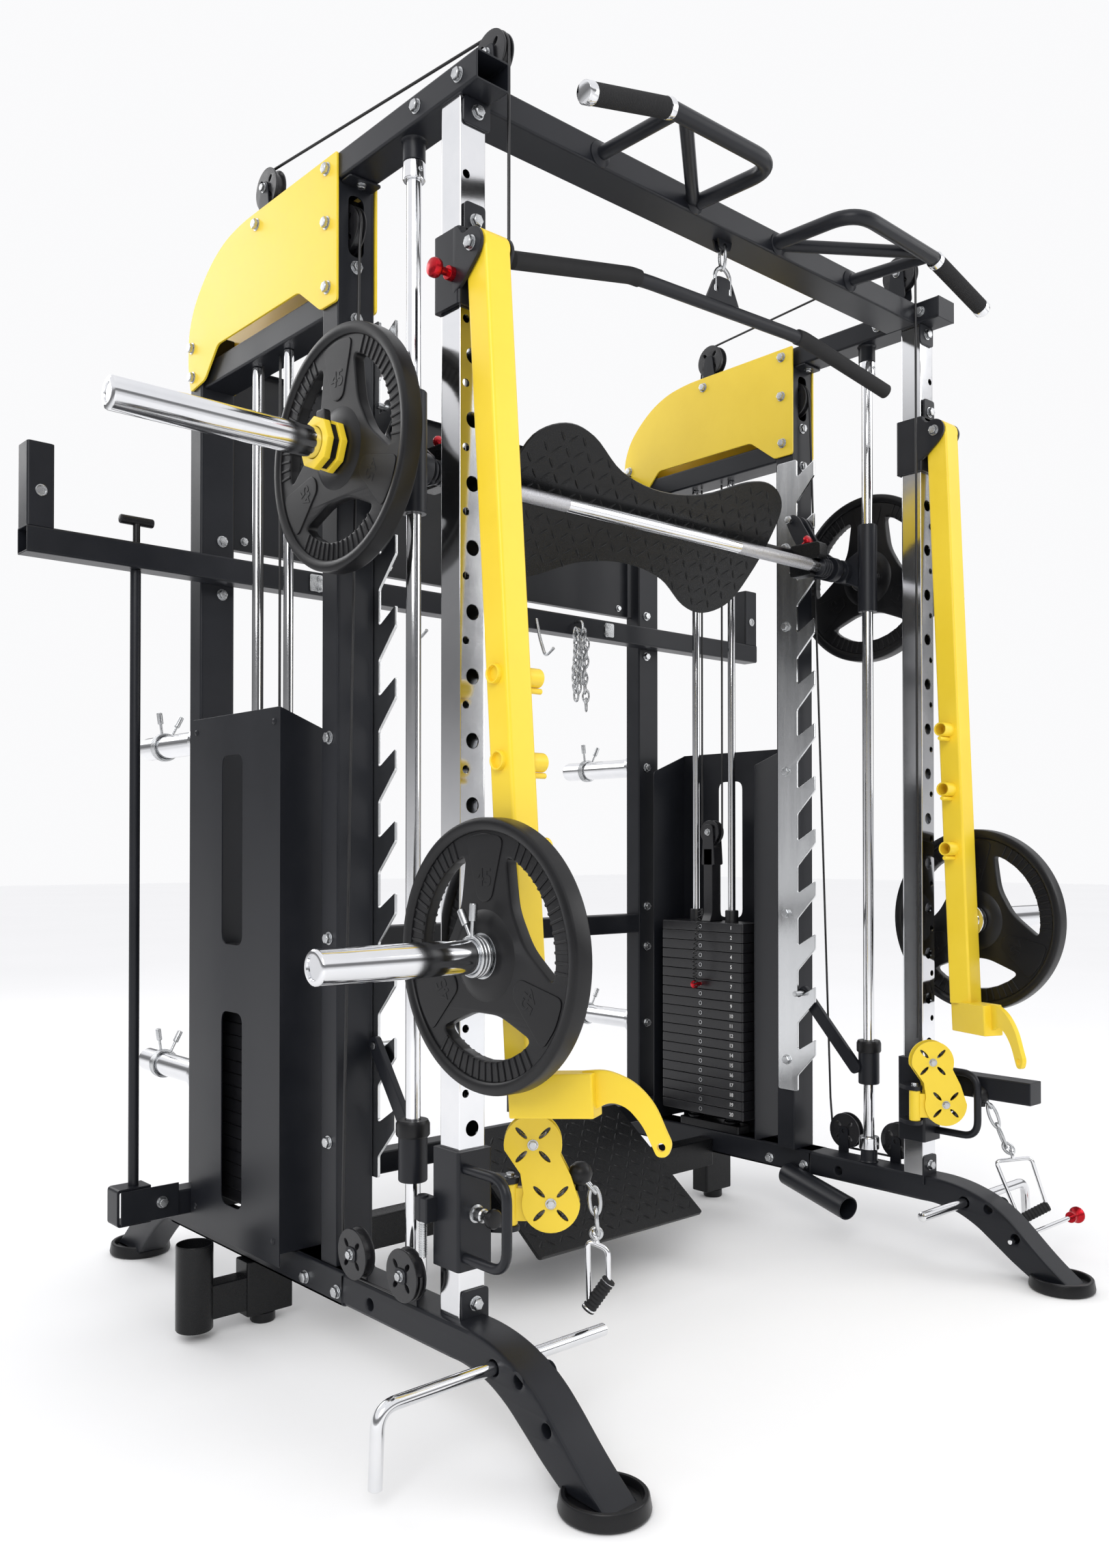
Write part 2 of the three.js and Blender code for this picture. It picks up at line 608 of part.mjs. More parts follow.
// ---------------------------------------------------------------- lever arms
function leverBracket(s) {
  const body = box(s * 612, s * 678, -164, -99, 1742, 1862);
  const hole = box(s * (UPRIGHT_IN - 0.6), s * (UPRIGHT_OUT + 0.6), UPRIGHT_FRONT_Y - 0.6,
    UPRIGHT_BACK_Y + 0.6, 1700, 1900);
  const ear = (x) => sidePlate([
    [-150, 1760], [-172, 1770], [-214, 1806], [-219, 1822], [-213, 1838], [-195, 1847], [-176, 1842],
    [-160, 1862], [-150, 1862],
  ], s * x, s * (x + 6));
  const tongue = box(s * 625, s * 665, -164, -159, 1855, 1905);
  const shaft = rod('x', 6, s * 606, s * 684, LEVER_PIVOT.y, LEVER_PIVOT.z, 10);
  return join(cut(body, hole), ear(672.3), ear(611.7), tongue, shaft);
}

function leverArm(s, lean) {
  const bottom = LEVER_PIVOT.z - LEVER_LENGTH;
  const arm = hollow('z', s * (645 - LEVER_HALF), s * (645 + LEVER_HALF), LEVER_PIVOT.y - LEVER_HALF,
    LEVER_PIVOT.y + LEVER_HALF, bottom, LEVER_PIVOT.z + 12);
  const sockets = LEVER_SOCKET_DROPS.map((drop) => (
    rod('x', 13, s * 590, s * 678, LEVER_PIVOT.y, LEVER_PIVOT.z - drop, 10)
  ));
  const horn = rod('x', SLEEVE_R, s * 665, s * LEVER_HORN_END, LEVER_PIVOT.y,
    LEVER_PIVOT.z - LEVER_HORN_DROP, 16);
  const stub = box(-22, 22, -105, 25, bottom - 62, bottom + 4);
  const tusk = sidePlate([
    [-95, bottom - 55], [-85, bottom + 4], [-120, bottom + 6], [-160, bottom - 10], [-190, bottom - 42],
    [-206, bottom - 84], [-211, bottom - 100], [-205, bottom - 116], [-193, bottom - 118],
    [-184, bottom - 104], [-172, bottom - 74], [-150, bottom - 48], [-125, bottom - 40],
  ], -5, 5);
  const hole = rod('x', 6, -10, 10, -197, bottom - 104, 8);
  const foot = join(stub, cut(tusk, hole)).rotate([0, 0, -s * 29])
    .translate([s * 645, LEVER_PIVOT.y, 0]);
  const bore = rod('x', 7, s * 600, s * 690, LEVER_PIVOT.y, LEVER_PIVOT.z, 10);
  return swing(cut(join(arm, ...sockets, horn, foot), bore), -lean, LEVER_PIVOT.y, LEVER_PIVOT.z);
}

function hornCentre(lean) {
  const angle = THREE.MathUtils.degToRad(lean);
  return {
    y: LEVER_PIVOT.y - LEVER_HORN_DROP * Math.sin(angle),
    z: LEVER_PIVOT.z - LEVER_HORN_DROP * Math.cos(angle),
  };
}

// ---------------------------------------------------------------- trolleys
function trolley(s) {
  const body = box(s * 611.5, s * 678.5, -165.5, -98.5, TROLLEY_BOTTOM, TROLLEY_TOP);
  const hole = box(s * (UPRIGHT_IN - 0.6), s * (UPRIGHT_OUT + 0.6), UPRIGHT_FRONT_Y - 0.6,
    UPRIGHT_BACK_Y + 0.6, 200, 500);
  const handle = tube(bends([
    [s * 664, -162, 411], [s * 664, -264, 411], [s * 664, -264, 275], [s * 664, -162, 275],
  ], 30, 3), 8, 8);
  const ledges = [[300, 309], [375, 384]].flatMap(([za, zb]) => [
    box(s * (SWIVEL.x - 13), s * (SWIVEL.x + 8), SWIVEL.y - 14, SWIVEL.y + 40, za, zb),
    box(s * SWIVEL.x, s * 614, SWIVEL.y + 18, SWIVEL.y + 40, za, zb),
  ]);
  const stud = rod('z', 7, 266, 330, s * BASE_PULLEY_X, BASE_FRONT.y - 45, 8);
  const studHolder = box(s * 676, s * 700, -112, -80, 322, 360);
  return join(cut(body, hole), handle, ...ledges, stud, studHolder);
}

// short square arm that sticks forward from the outer side of the right trolley
function trolleyArm() {
  const cheek = box(677, 684, -164, -100, 350, 411);
  const arm = box(680, 728, -375, -112, 356, 405);
  const bore = box(684, 724, -380, -180, 360, 401);
  return join(cheek, cut(arm, bore));
}

// swivel head: hinge tube and two figure-of-eight cheeks with two pulleys between them
function swivelHead(s) {
  const tubePart = rod('z', 12, 309 + GAP, 375 - GAP, 0, 0, 10);
  const arm = box(5, 50, -8, 8, 315, 369);
  const lobes = SWIVEL_LOBES.map(([reach, z]) => rod('y', SWIVEL_LOBE_R, -14, 14, reach, z, 18));
  const waist = box(34, 66, -14, 14, 370, 412);
  const keepClear = [
    box(-40, 22, -30, 30, 375 - GAP, 500),
    box(-40, 24, -30, 30, 200, 309 + GAP),
    box(-60, -6, -30, 30, 200, 500),
  ];
  const head = join(cut(join(...lobes, waist, arm), ...keepClear), tubePart);
  return head.rotate([0, 0, -41.8]).translate([s * SWIVEL.x, SWIVEL.y, 0]);
}

// ---------------------------------------------------------------- lat bar
function latBar() {
  const bar = tube(bends([
    [-500, 0, 1893], [-235, 0, 1941], [235, 0, 1941], [500, 0, 1893],
  ], 50, 3), 14, 10);
  const ear = box(-45, 45, -4, 4, 1945, 1998);
  const eyes = [-22, 22].map((x) => rod('y', 8, -10, 10, x, 1980, 8));
  const hook = rod('x', 5, -4, 4, 0, 0, 8).translate([0, 0, 2004]);
  const stem = box(-4, 4, -3, 3, 1990, 2067);
  const eye = rod('x', 3.7, -4, 4, 0, 2067, 8);
  const hanging = join(bar, cut(ear, ...eyes), hook, stem).rotate([0, 0, -4]);
  return join(hanging, eye).translate([0, LAT_BAR_Y, 0]);
}

// ---------------------------------------------------------------- assembly
for (const [side, s] of [['left', -1], ['right', 1]]) {
  const rail = s > 0 ? join(baseRail(s), landmineTube()) : baseRail(s);
  addPart(`${side}_base_rail`, rail, PAINT_BLACK);
  addPart(`${side}_top_rail`, topRail(s), PAINT_BLACK);
  addPart(`${side}_front_upright`, frontUpright(s), CHROME);
  addPart(`${side}_middle_post`, middlePost(s), PAINT_BLACK);
  addPart(`${side}_header_rail`, headerRail(s), PAINT_BLACK);
  addPart(`${side}_gusset_plate`, gussetOuter(s), PAINT_YELLOW);
  addPart(`${side}_guide_rod`, guideRod(s), CHROME);
  addPart(`${side}_stack_guides`, stackGuides(s), CHROME);
  addPart(`${side}_rack_plate`, rackPlate(s), STEEL);
  addPart(`${side}_stack_shroud`, shroud(s), PAINT_BLACK);
  addPart(`${side}_leg_peg`, legPeg(s), CHROME);
  addPart(`${side}_resting_stack`, restingStack(s), PAINT_BLACK);
  addPart(`${side}_lifted_stack`, liftedStack(s), PAINT_BLACK);
  addPart(`${side}_stack_cable`, stackCable(s), CABLE_BLACK);
  addPart(`${side}_frame_cable`, frameCable(s), CABLE_BLACK);
  addPart(`${side}_top_cable`, topCable(s), CABLE_BLACK);
  addPart(`${side}_trolley_cable`, trolleyCable(s), CABLE_BLACK);
  addPart(`${side}_smith_carriage`, smithCarriage(s), PAINT_BLACK);
  addPart(`${side}_bar_plate`, gripPlate(s, 725 + GAP, BAR_Y, BAR_Z, SLEEVE_R + 0.5), RUBBER);
  addPart(`${side}_safety_stop`, safetyStop(s), PAINT_BLACK);
  addPart(`${side}_lever_bracket`, leverBracket(s), PAINT_BLACK);
  addPart(`${side}_lever_arm`, leverArm(s, LEVER_LEAN[side]), PAINT_YELLOW);
  const horn = hornCentre(LEVER_LEAN[side]);
  addPart(`${side}_lever_plate`, gripPlate(s, LEVER_PLATE_IN, horn.y, horn.z, SLEEVE_R + 0.5), RUBBER);
  const trolleyBody = s > 0 ? join(trolley(s), trolleyArm()) : trolley(s);
  addPart(`${side}_trolley`, trolleyBody, PAINT_BLACK);
  addPart(`${side}_swivel_head`, swivelHead(s), PAINT_YELLOW);
}
addPart('front_top_beam', frontTopBeam(), PAINT_BLACK);
addPart('rear_frame', rearFrame(), PAINT_BLACK);
addPart('rear_mid_beam', rearMidBeam(), PAINT_BLACK);
addPart('sign_panel', signPanel(), PAINT_BLACK);
addPart('rear_base_beam', rearBaseBeam(), PAINT_BLACK);
addPart('low_cross_frame', lowCrossFrame(), PAINT_BLACK);
addPart('smith_bar', smithBar(), CHROME);
addPart('press_plate', pressPlate(), PAINT_BLACK);
addPart('lat_bar', latBar(), PAINT_BLACK);

export default group;
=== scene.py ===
"""Smith machine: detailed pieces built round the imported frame.

Shapes are laid out in the machine's own millimetres: +x right, +y back, +z up,
with y = 0 on the guide rods. They turn into metres when a piece is made.
"""
import math

import bmesh
import bpy
from mathutils import Matrix, Vector
from mathutils.geometry import tessellate_polygon


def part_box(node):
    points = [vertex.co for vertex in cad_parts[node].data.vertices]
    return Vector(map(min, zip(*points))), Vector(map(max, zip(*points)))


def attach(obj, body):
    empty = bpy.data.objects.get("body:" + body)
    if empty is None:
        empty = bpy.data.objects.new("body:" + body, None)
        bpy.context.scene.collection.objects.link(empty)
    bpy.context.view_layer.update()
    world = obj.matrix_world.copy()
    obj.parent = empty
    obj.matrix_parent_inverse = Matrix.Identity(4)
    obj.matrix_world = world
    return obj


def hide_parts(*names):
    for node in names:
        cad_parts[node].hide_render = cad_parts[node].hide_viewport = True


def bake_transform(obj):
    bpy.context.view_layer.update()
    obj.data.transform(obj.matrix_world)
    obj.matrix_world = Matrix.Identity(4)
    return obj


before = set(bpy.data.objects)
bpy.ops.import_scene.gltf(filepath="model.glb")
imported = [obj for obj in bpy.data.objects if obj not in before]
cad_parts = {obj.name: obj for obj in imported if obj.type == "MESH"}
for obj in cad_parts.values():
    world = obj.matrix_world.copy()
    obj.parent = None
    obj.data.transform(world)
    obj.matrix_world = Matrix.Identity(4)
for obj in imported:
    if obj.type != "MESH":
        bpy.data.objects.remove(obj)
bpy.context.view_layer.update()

# ---------------------------------------------------------------- driving dimensions
ROD_LOW, ROD_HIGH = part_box("left_guide_rod")
MACHINE_Y = (ROD_LOW[1] + ROD_HIGH[1]) / 2
SIDES = (("left", -1), ("right", 1))

POST_IN, POST_OUT = 602, 677
UPRIGHT_X, UPRIGHT_Y = 645, -132
UPRIGHT_FRONT = -157
UPRIGHT_HOLE_LOW, UPRIGHT_HOLE_HIGH, UPRIGHT_HOLE_STEP = 369, 1669, 100
RACK_TOP, RACK_BOTTOM, RACK_FIRST_TIP, RACK_LAST_TIP, RACK_PITCH = 1838, 322, 1825, 400, 125
RACK_BACK, RACK_FRONT, RACK_TEETH = 224, 167, 116
MID_FRONT, MID_BACK = 182, 232
REAR_FRONT, REAR_BACK = 700, 750
RAIL_BOTTOM, RAIL_TOP = 123, 179
TOP_BOTTOM, TOP_TOP = 2071, 2118
ROD_X, ROD_R = 645, 12.5
BAR_Y, BAR_Z = 60, 1553
HOOK_PIN, STOP_PIN = (157, 1682), (157, 557)
STACK_X, STACK_HALF = 642.5, 46
STACK_FRONT, STACK_BACK = 335, 610
STACK_BOTTOM, STACK_TOP, STACK_COUNT, STACK_LIFTED = 222, 715, 20, 7
STACK_PITCH = (STACK_TOP - STACK_BOTTOM) / STACK_COUNT
STACK_SPLIT = STACK_TOP - STACK_LIFTED * STACK_PITCH
STACK_INNER = STACK_X - STACK_HALF
STACK_ROD_YS = (409, 530)
BLOCK_Y, BLOCK_Z = 475, 945
PIVOT_Y, PIVOT_Z = -195, 1822
LEAN = {"left": 4.3, "right": 2.4}
HORN_DROP = 1078
SOCKET_DROPS = (662, 792, 921)
LEVER_BOTTOM = PIVOT_Z - 1255
SWIVEL_X, SWIVEL_Y = 575, -165
FOOT_YS = (-458, 1037)
REAR_BEAM_Y = 674.8
BASE_WHEEL_BACK, BASE_WHEEL_FRONT = (95, 227), (-48, 227)
POST_WHEEL = (207, 1998)
TOP_FRONT_WHEEL, TOP_REAR_WHEEL = (-131, 2176), (474, 2174)
TROLLEY_ROPE_X, TROLLEY_ROPE_Y = 582, -169


# ---------------------------------------------------------------- mesh helpers
class Shape:
    """Points and faces of one piece, in the machine's millimetres."""

    def __init__(self):
        self.points = []
        self.faces = []

    def ring(self, points):
        first = len(self.points)
        self.points.extend(Vector(p) for p in points)
        return list(range(first, len(self.points)))

    def skin(self, rings, around=False):
        pairs = list(zip(rings, rings[1:]))
        if around:
            pairs.append((rings[-1], rings[0]))
        for a, b in pairs:
            count = max(len(a), len(b))
            for i in range(count):
                j = (i + 1) % count
                if len(a) == 1:
                    self.faces.append((a[0], b[j], b[i]))
                elif len(b) == 1:
                    self.faces.append((a[i], a[j], b[0]))
                else:
                    self.faces.append((a[i], a[j], b[j], b[i]))
        return self

    def merge(self, other, matrix=Matrix.Identity(4)):
        first = len(self.points)
        self.points.extend(matrix @ p for p in other.points)
        self.faces.extend(tuple(first + i for i in face) for face in other.faces)
        return self


def merged(*shapes):
    whole = Shape()
    for shape in shapes:
        whole.merge(shape)
    return whole


def moved(shape, matrix):
    return Shape().merge(shape, matrix)


def axes(u, v, w, at):
    """Placement whose own x, y and z run along u, v and w."""
    columns = [Vector(u), Vector(v), Vector(w), Vector(at)]
    rows = [[column[i] for column in columns] for i in range(3)]
    return Matrix(rows + [[0, 0, 0, 1]])


def side_on(s, x=0, y=0, z=0):
    """Drawn flat on y and z, and thick outward from the machine's middle."""
    return axes((0, 1, 0), (0, 0, 1), (s, 0, 0), (s * x, y, z))


def front_on(x, y, z):
    """Drawn flat on x and z, and thick towards the front."""
    return axes((1, 0, 0), (0, 0, 1), (0, -1, 0), (x, y, z))


def back_on(x, y, z):
    """Drawn flat on x and z, and thick towards the back."""
    return axes((1, 0, 0), (0, 0, 1), (0, 1, 0), (x, y, z))


def standing(x, y, z):
    return Matrix.Translation((x, y, z))


def turned(degrees, axis, at):
    spot = Matrix.Translation(at)
    return spot @ Matrix.Rotation(math.radians(degrees), 4, axis) @ spot.inverted()


def polar(radius, degrees, cx=0, cy=0):
    turn = math.radians(degrees)
    return cx + radius * math.cos(turn), cy + radius * math.sin(turn)


def mirror(s):
    return Matrix.Scale(s, 4, (1, 0, 0))


def signed_area(loop):
    return sum(a[0] * b[1] - b[0] * a[1] for a, b in zip(loop, loop[1:] + loop[:1])) / 2


def inset(loop, distance):
    """The loop moved to its left by a distance, with mitred corners."""
    out = []
    count = len(loop)
    for i, (x, y) in enumerate(loop):
        before = Vector(loop[i - 1])
        after = Vector(loop[(i + 1) % count])
        here = Vector((x, y))
        into = (here - before).normalized()
        away = (after - here).normalized()
        n1 = Vector((-into.y, into.x))
        n2 = Vector((-away.y, away.x))
        step = (n1 + n2) / max(1 + n1.dot(n2), 0.35)
        out.append((x + step.x * distance, y + step.y * distance))
    return out


def circle(radius, count=32, cx=0, cy=0):
    turns = [2 * math.pi * i / count for i in range(count)]
    return [(cx + radius * math.cos(turn), cy + radius * math.sin(turn)) for turn in turns]


def ellipse(rx, ry, angle, cx, cy, count=18):
    turn = math.radians(angle)
    loop = []
    for x, y in circle(1, count):
        u, v = x * rx, y * ry
        loop.append((cx + u * math.cos(turn) - v * math.sin(turn),
                     cy + u * math.sin(turn) + v * math.cos(turn)))
    return loop


def fillet(corners, radius, steps=5):
    """A polygon with its corners rounded; radius is one number, or one for each corner."""
    out = []
    count = len(corners)
    for i, corner in enumerate(corners):
        here = Vector(corner)
        back = Vector(corners[i - 1]) - here
        ahead = Vector(corners[(i + 1) % count]) - here
        wanted = radius[i] if isinstance(radius, (list, tuple)) else radius
        reach = min(wanted, back.length * 0.48, ahead.length * 0.48)
        if reach < 0.01:
            out.append(tuple(here))
            continue
        start = here + back.normalized() * reach
        end = here + ahead.normalized() * reach
        for k in range(steps + 1):
            t = k / steps
            point = start * (1 - t) ** 2 + here * 2 * t * (1 - t) + end * t ** 2
            out.append(tuple(point))
    return out


def rectangle(x0, x1, y0, y1, radius=4, steps=4):
    return fillet([(x0, y0), (x1, y0), (x1, y1), (x0, y1)], radius, steps)


def plate(outline, depth, holes=(), soft=0.8):
    """Flat plate from z = 0 to z = depth, with rounded rims on the outline and the holes."""
    shape = Shape()
    outer = outline if signed_area(outline) > 0 else outline[::-1]
    loops = [outer] + [hole if signed_area(hole) < 0 else hole[::-1] for hole in holes]
    soft = min(soft, depth * 0.45)
    rows = [(soft, 0), (soft * 0.3, soft * 0.3), (0, soft),
            (0, depth - soft), (soft * 0.3, depth - soft * 0.3), (soft, depth)]
    lower = []
    upper = []
    for loop in loops:
        rings = [shape.ring([(x, y, z) for x, y in inset(loop, distance)]) for distance, z in rows]
        shape.skin(rings)
        lower.append(rings[0])
        upper.append(rings[-1])
    for level in (lower, upper):
        flat = [index for ring in level for index in ring]
        triangles = tessellate_polygon([[shape.points[i] for i in ring] for ring in level])
        shape.faces.extend(tuple(flat[i] for i in triangle) for triangle in triangles)
    return shape


def block(x0, x1, y0, y1, z0, z1, soft=1.0, corner=None):
    """Box with every edge rounded; its x pair may come in either order."""
    low, high = min(x0, x1), max(x0, x1)
    outline = rectangle(low, high, y0, y1, soft * 1.5 if corner is None else corner)
    return moved(plate(outline, z1 - z0, (), soft), standing(0, 0, z0))


def lathe(profile, count=32, around=False):
    """Profile of (radius, height) pairs turned about z."""
    shape = Shape()
    rings = []
    for radius, z in profile:
        if radius == 0:
            rings.append(shape.ring([(0, 0, z)]))
        else:
            rings.append(shape.ring([(x, y, z) for x, y in circle(radius, count)]))
    return shape.skin(rings, around)


def drum(radius, z0, z1, soft=1.0, count=32):
    """Closed cylinder with rounded rims."""
    k = 0.3 * soft
    return lathe([(0, z0), (radius - soft, z0), (radius - k, z0 + k), (radius, z0 + soft),
                  (radius, z1 - soft), (radius - k, z1 - k), (radius - soft, z1), (0, z1)], count)


def collar(inner, outer, z0, z1, narrow, tall, count=40):
    """Ring turned from z0 to z1, with both outer rims cut back by narrow and tall."""
    return lathe([(inner, z0), (outer - narrow, z0), (outer, z0 + tall), (outer, z1 - tall),
                  (outer - narrow, z1), (inner, z1)], count)


def sleeve(outer, inner, z0, z1, soft=0.8, count=32):
    """Short pipe along z with flat ends and rounded rims."""
    return moved(plate(circle(outer, count), z1 - z0, [circle(inner, count)], soft), standing(0, 0, z0))


def pipe(path, radius, count=14, round_end=0.0):
    """Round rod along a path of points, closed at both ends."""
    shape = Shape()
    points = [Vector(p) for p in path]
    tangents = []
    for i, point in enumerate(points):
        before = points[max(i - 1, 0)]
        after = points[min(i + 1, len(points) - 1)]
        tangents.append((after - before).normalized())
    side = tangents[0].orthogonal().normalized()
    rings = []

    def add(centre, tangent, size):
        across = tangent.cross(side).normalized()
        rings.append(shape.ring([centre + side * x * size + across * y * size for x, y in circle(1, count)]))

    rings.append(shape.ring([points[0] - tangents[0] * round_end]))
    if round_end:
        add(points[0] - tangents[0] * round_end * 0.7, tangents[0], radius * 0.7)
    for i, point in enumerate(points):
        side = (side - tangents[i] * side.dot(tangents[i])).normalized()
        add(point, tangents[i], radius)
    if round_end:
        add(points[-1] + tangents[-1] * round_end * 0.7, tangents[-1], radius * 0.7)
    rings.append(shape.ring([points[-1] + tangents[-1] * round_end]))
    return shape.skin(rings)


def bend(corners, radius, steps=8):
    """Corner points joined by straight runs and round bends."""
    given = [Vector(p) for p in corners]
    out = [given[0]]
    for i in range(1, len(given) - 1):
        back = given[i - 1] - given[i]
        ahead = given[i + 1] - given[i]
        reach = min(radius, back.length * 0.46, ahead.length * 0.46)
        start = given[i] + back.normalized() * reach
        end = given[i] + ahead.normalized() * reach
        for k in range(steps + 1):
            t = k / steps
            out.append(start * (1 - t) ** 2 + given[i] * 2 * t * (1 - t) + end * t ** 2)
    out.append(given[-1])
    return out


def between(a, b):
    """Placement that sends the z axis from point a towards point b."""
    a, b = Vector(a), Vector(b)
    turn = (b - a).to_track_quat("Z", "Y").to_matrix().to_4x4()
    return Matrix.Translation(a) @ turn


def bar_between(a, b, radius, count=16, soft=1.0):
    length = (Vector(b) - Vector(a)).length
    return moved(drum(radius, 0, length, soft, count), between(a, b))


def square_tube(width, depth, length, wall=3.5, corner=5):
    """Hollow tube along z, centred on x and y, from z = 0."""
    outer = rectangle(-width / 2, width / 2, -depth / 2, depth / 2, corner, 5)
    w, d = width / 2 - wall, depth / 2 - wall
    inner = rectangle(-w, w, -d, d, max(corner - wall, 1), 3)
    return plate(outer, length, [inner], 0.5)


def cross_tube(width, depth, half, y, z, wall=3.2, corner=5):
    """Square tube lying across the machine, as far to the left as to the right."""
    return moved(square_tube(width, depth, 2 * half, wall, corner), side_on(1, -half, y, z))


def smooth(points, steps=6):
    """A curve through 2D points, as many short straight runs."""
    out = []
    count = len(points)
    for i in range(count - 1):
        p0 = Vector(points[max(i - 1, 0)])
        p1 = Vector(points[i])
        p2 = Vector(points[i + 1])
        p3 = Vector(points[min(i + 2, count - 1)])
        for k in range(steps):
            t = k / steps
            point = 0.5 * (2 * p1 + (p2 - p0) * t + (2 * p0 - 5 * p1 + 4 * p2 - p3) * t ** 2
                           + (3 * p1 - p0 - 3 * p2 + p3) * t ** 3)
            out.append(tuple(point))
    out.append(tuple(points[-1]))
    return out


def make(name, shape, look, body="frame", replaces=(), sharp=40):
    """Turns a shape into a piece in metres that rides on a body, or on none if no body is given."""
    mesh = bpy.data.meshes.new(name)
    points = [(p.x / 1000, p.y / 1000 + MACHINE_Y, p.z / 1000) for p in shape.points]
    mesh.from_pydata(points, [], shape.faces)
    work = bmesh.new()
    work.from_mesh(mesh)
    bmesh.ops.recalc_face_normals(work, faces=work.faces)
    work.to_mesh(mesh)
    work.free()
    material, slot = look
    mesh.materials.append(material)
    mesh.shade_smooth()
    mesh.set_sharp_from_angle(angle=math.radians(sharp))
    piece = bpy.data.objects.new(name, mesh)
    bpy.context.scene.collection.objects.link(piece)
    normals = piece.modifiers.new("even shading", "WEIGHTED_NORMAL")
    normals.keep_sharp = True
    normals.weight = 90
    if body:
        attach(piece, body)
    if replaces:
        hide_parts(*replaces)
    return piece


def lettering(text, size, depth):
    """Raised numerals on the xy plane, centred, as a shape."""
    curve = bpy.data.curves.new("numerals", "FONT")
    curve.body = text
    curve.size = size
    curve.extrude = depth / 2
    curve.bevel_depth = size * 0.012
    curve.align_x = "CENTER"
    curve.align_y = "CENTER"
    curve.resolution_u = 4
    holder = bpy.data.objects.new("numerals", curve)
    mesh = holder.to_mesh()
    shape = Shape()
    shape.points = [v.co.copy() for v in mesh.vertices]
    shape.faces = [tuple(p.vertices) for p in mesh.polygons]
    holder.to_mesh_clear()
    bpy.data.objects.remove(holder)
    bpy.data.curves.remove(curve)
    return shape


# ---------------------------------------------------------------- materials
def node(tree, kind, **values):
    """A new shader node, with values for the inputs of those names (an underscore is a space)."""
    added = tree.nodes.new("ShaderNode" + kind)
    for field, value in values.items():
        added.inputs[field.replace("_", " ")].default_value = value
    return added


def wire(tree, start, output, end, socket):
    tree.links.new(start.outputs[output], end.inputs[socket])


def new_material(name, slot, base, roughness, metallic=0.0, other=None, patches=6.0, grain=600.0,
                 bump=0.1, spread=0.08, depth=0.0004, coat=0.0, specular=0.5, stretch=(1, 1, 1)):
    """Paint, metal or rubber with uneven colour and gloss, and a fine relief."""
    material = bpy.data.materials.new(name)
    material.use_nodes = True
    tree = material.node_tree
    shader = tree.nodes["Principled BSDF"]
    for field, value in (("Metallic", metallic), ("Coat Weight", coat), ("Specular IOR Level", specular),
                         ("Coat Roughness", 0.2)):
        shader.inputs[field].default_value = value
    where = node(tree, "TexCoord")
    scaled = node(tree, "Mapping", Scale=stretch)
    wire(tree, where, "Object", scaled, "Vector")
    cloud = node(tree, "TexNoise", Scale=patches, Detail=5, Roughness=0.62)
    wire(tree, scaled, "Vector", cloud, "Vector")
    colour = node(tree, "ValToRGB")
    light = other or [c * 1.18 for c in base]
    for element, position, shade in zip(colour.color_ramp.elements, (0.3, 0.72), (base, light)):
        element.position = position
        element.color = (*shade, 1)
    wire(tree, cloud, "Fac", colour, "Fac")
    wire(tree, colour, "Color", shader, "Base Color")
    speck = node(tree, "TexNoise", Scale=grain, Detail=3)
    wire(tree, scaled, "Vector", speck, "Vector")
    mixed = node(tree, "Math")
    mixed.operation = "MULTIPLY"
    wire(tree, cloud, "Fac", mixed, 0)
    wire(tree, speck, "Fac", mixed, 1)
    gloss = node(tree, "MapRange", From_Min=0.1, From_Max=0.45, To_Min=max(roughness - spread, 0.02),
                 To_Max=roughness + spread)
    wire(tree, mixed, "Value", gloss, "Value")
    wire(tree, gloss, "Result", shader, "Roughness")
    relief = node(tree, "Bump", Strength=bump, Distance=depth)
    wire(tree, speck, "Fac", relief, "Height")
    wire(tree, relief, "Normal", shader, "Normal")
    return material, slot


BLACK = new_material("powder_black", "black_paint", (0.008, 0.009, 0.012), 0.36, other=(0.013, 0.014, 0.018),
                     grain=900, bump=0.25, specular=0.3)
TREAD = new_material("tread_black", "black_paint", (0.004, 0.0043, 0.005), 0.3, other=(0.007, 0.0073, 0.008),
                     grain=700, bump=0.3, specular=0.28)
YELLOW = new_material("powder_yellow", "yellow_paint", (0.87, 0.62, 0.028), 0.4, other=(0.92, 0.67, 0.04),
                      grain=900, bump=0.12, coat=0.1)
CHROME = new_material("hard_chrome", "chrome", (0.72, 0.73, 0.75), 0.1, 1.0, other=(0.8, 0.8, 0.81),
                      patches=9, grain=1500, bump=0.03, spread=0.04)
ZINC = new_material("zinc_steel", "zinc_steel", (0.44, 0.45, 0.46), 0.27, 1.0, other=(0.62, 0.63, 0.64),
                    patches=60, grain=1800, bump=0.1, spread=0.1)
BRUSHED = new_material("brushed_steel", "zinc_steel", (0.6, 0.61, 0.62), 0.2, 1.0, other=(0.7, 0.71, 0.72),
                       patches=10, grain=420, bump=0.05, spread=0.06, stretch=(5, 5, 0.4))
RUBBER = new_material("moulded_rubber", "black_rubber", (0.005, 0.005, 0.006), 0.36,
                      other=(0.009, 0.009, 0.01), patches=12, grain=1100, bump=0.3, specular=0.3)
GRIP = new_material("grip_foam", "black_rubber", (0.01, 0.01, 0.011), 0.7, other=(0.016, 0.016, 0.017),
                    patches=30, grain=2200, bump=0.6, specular=0.35)
CABLE = new_material("cable_jacket", "cable_jacket", (0.007, 0.007, 0.008), 0.36, other=(0.012, 0.012, 0.013),
                     patches=40, grain=1600, bump=0.15)
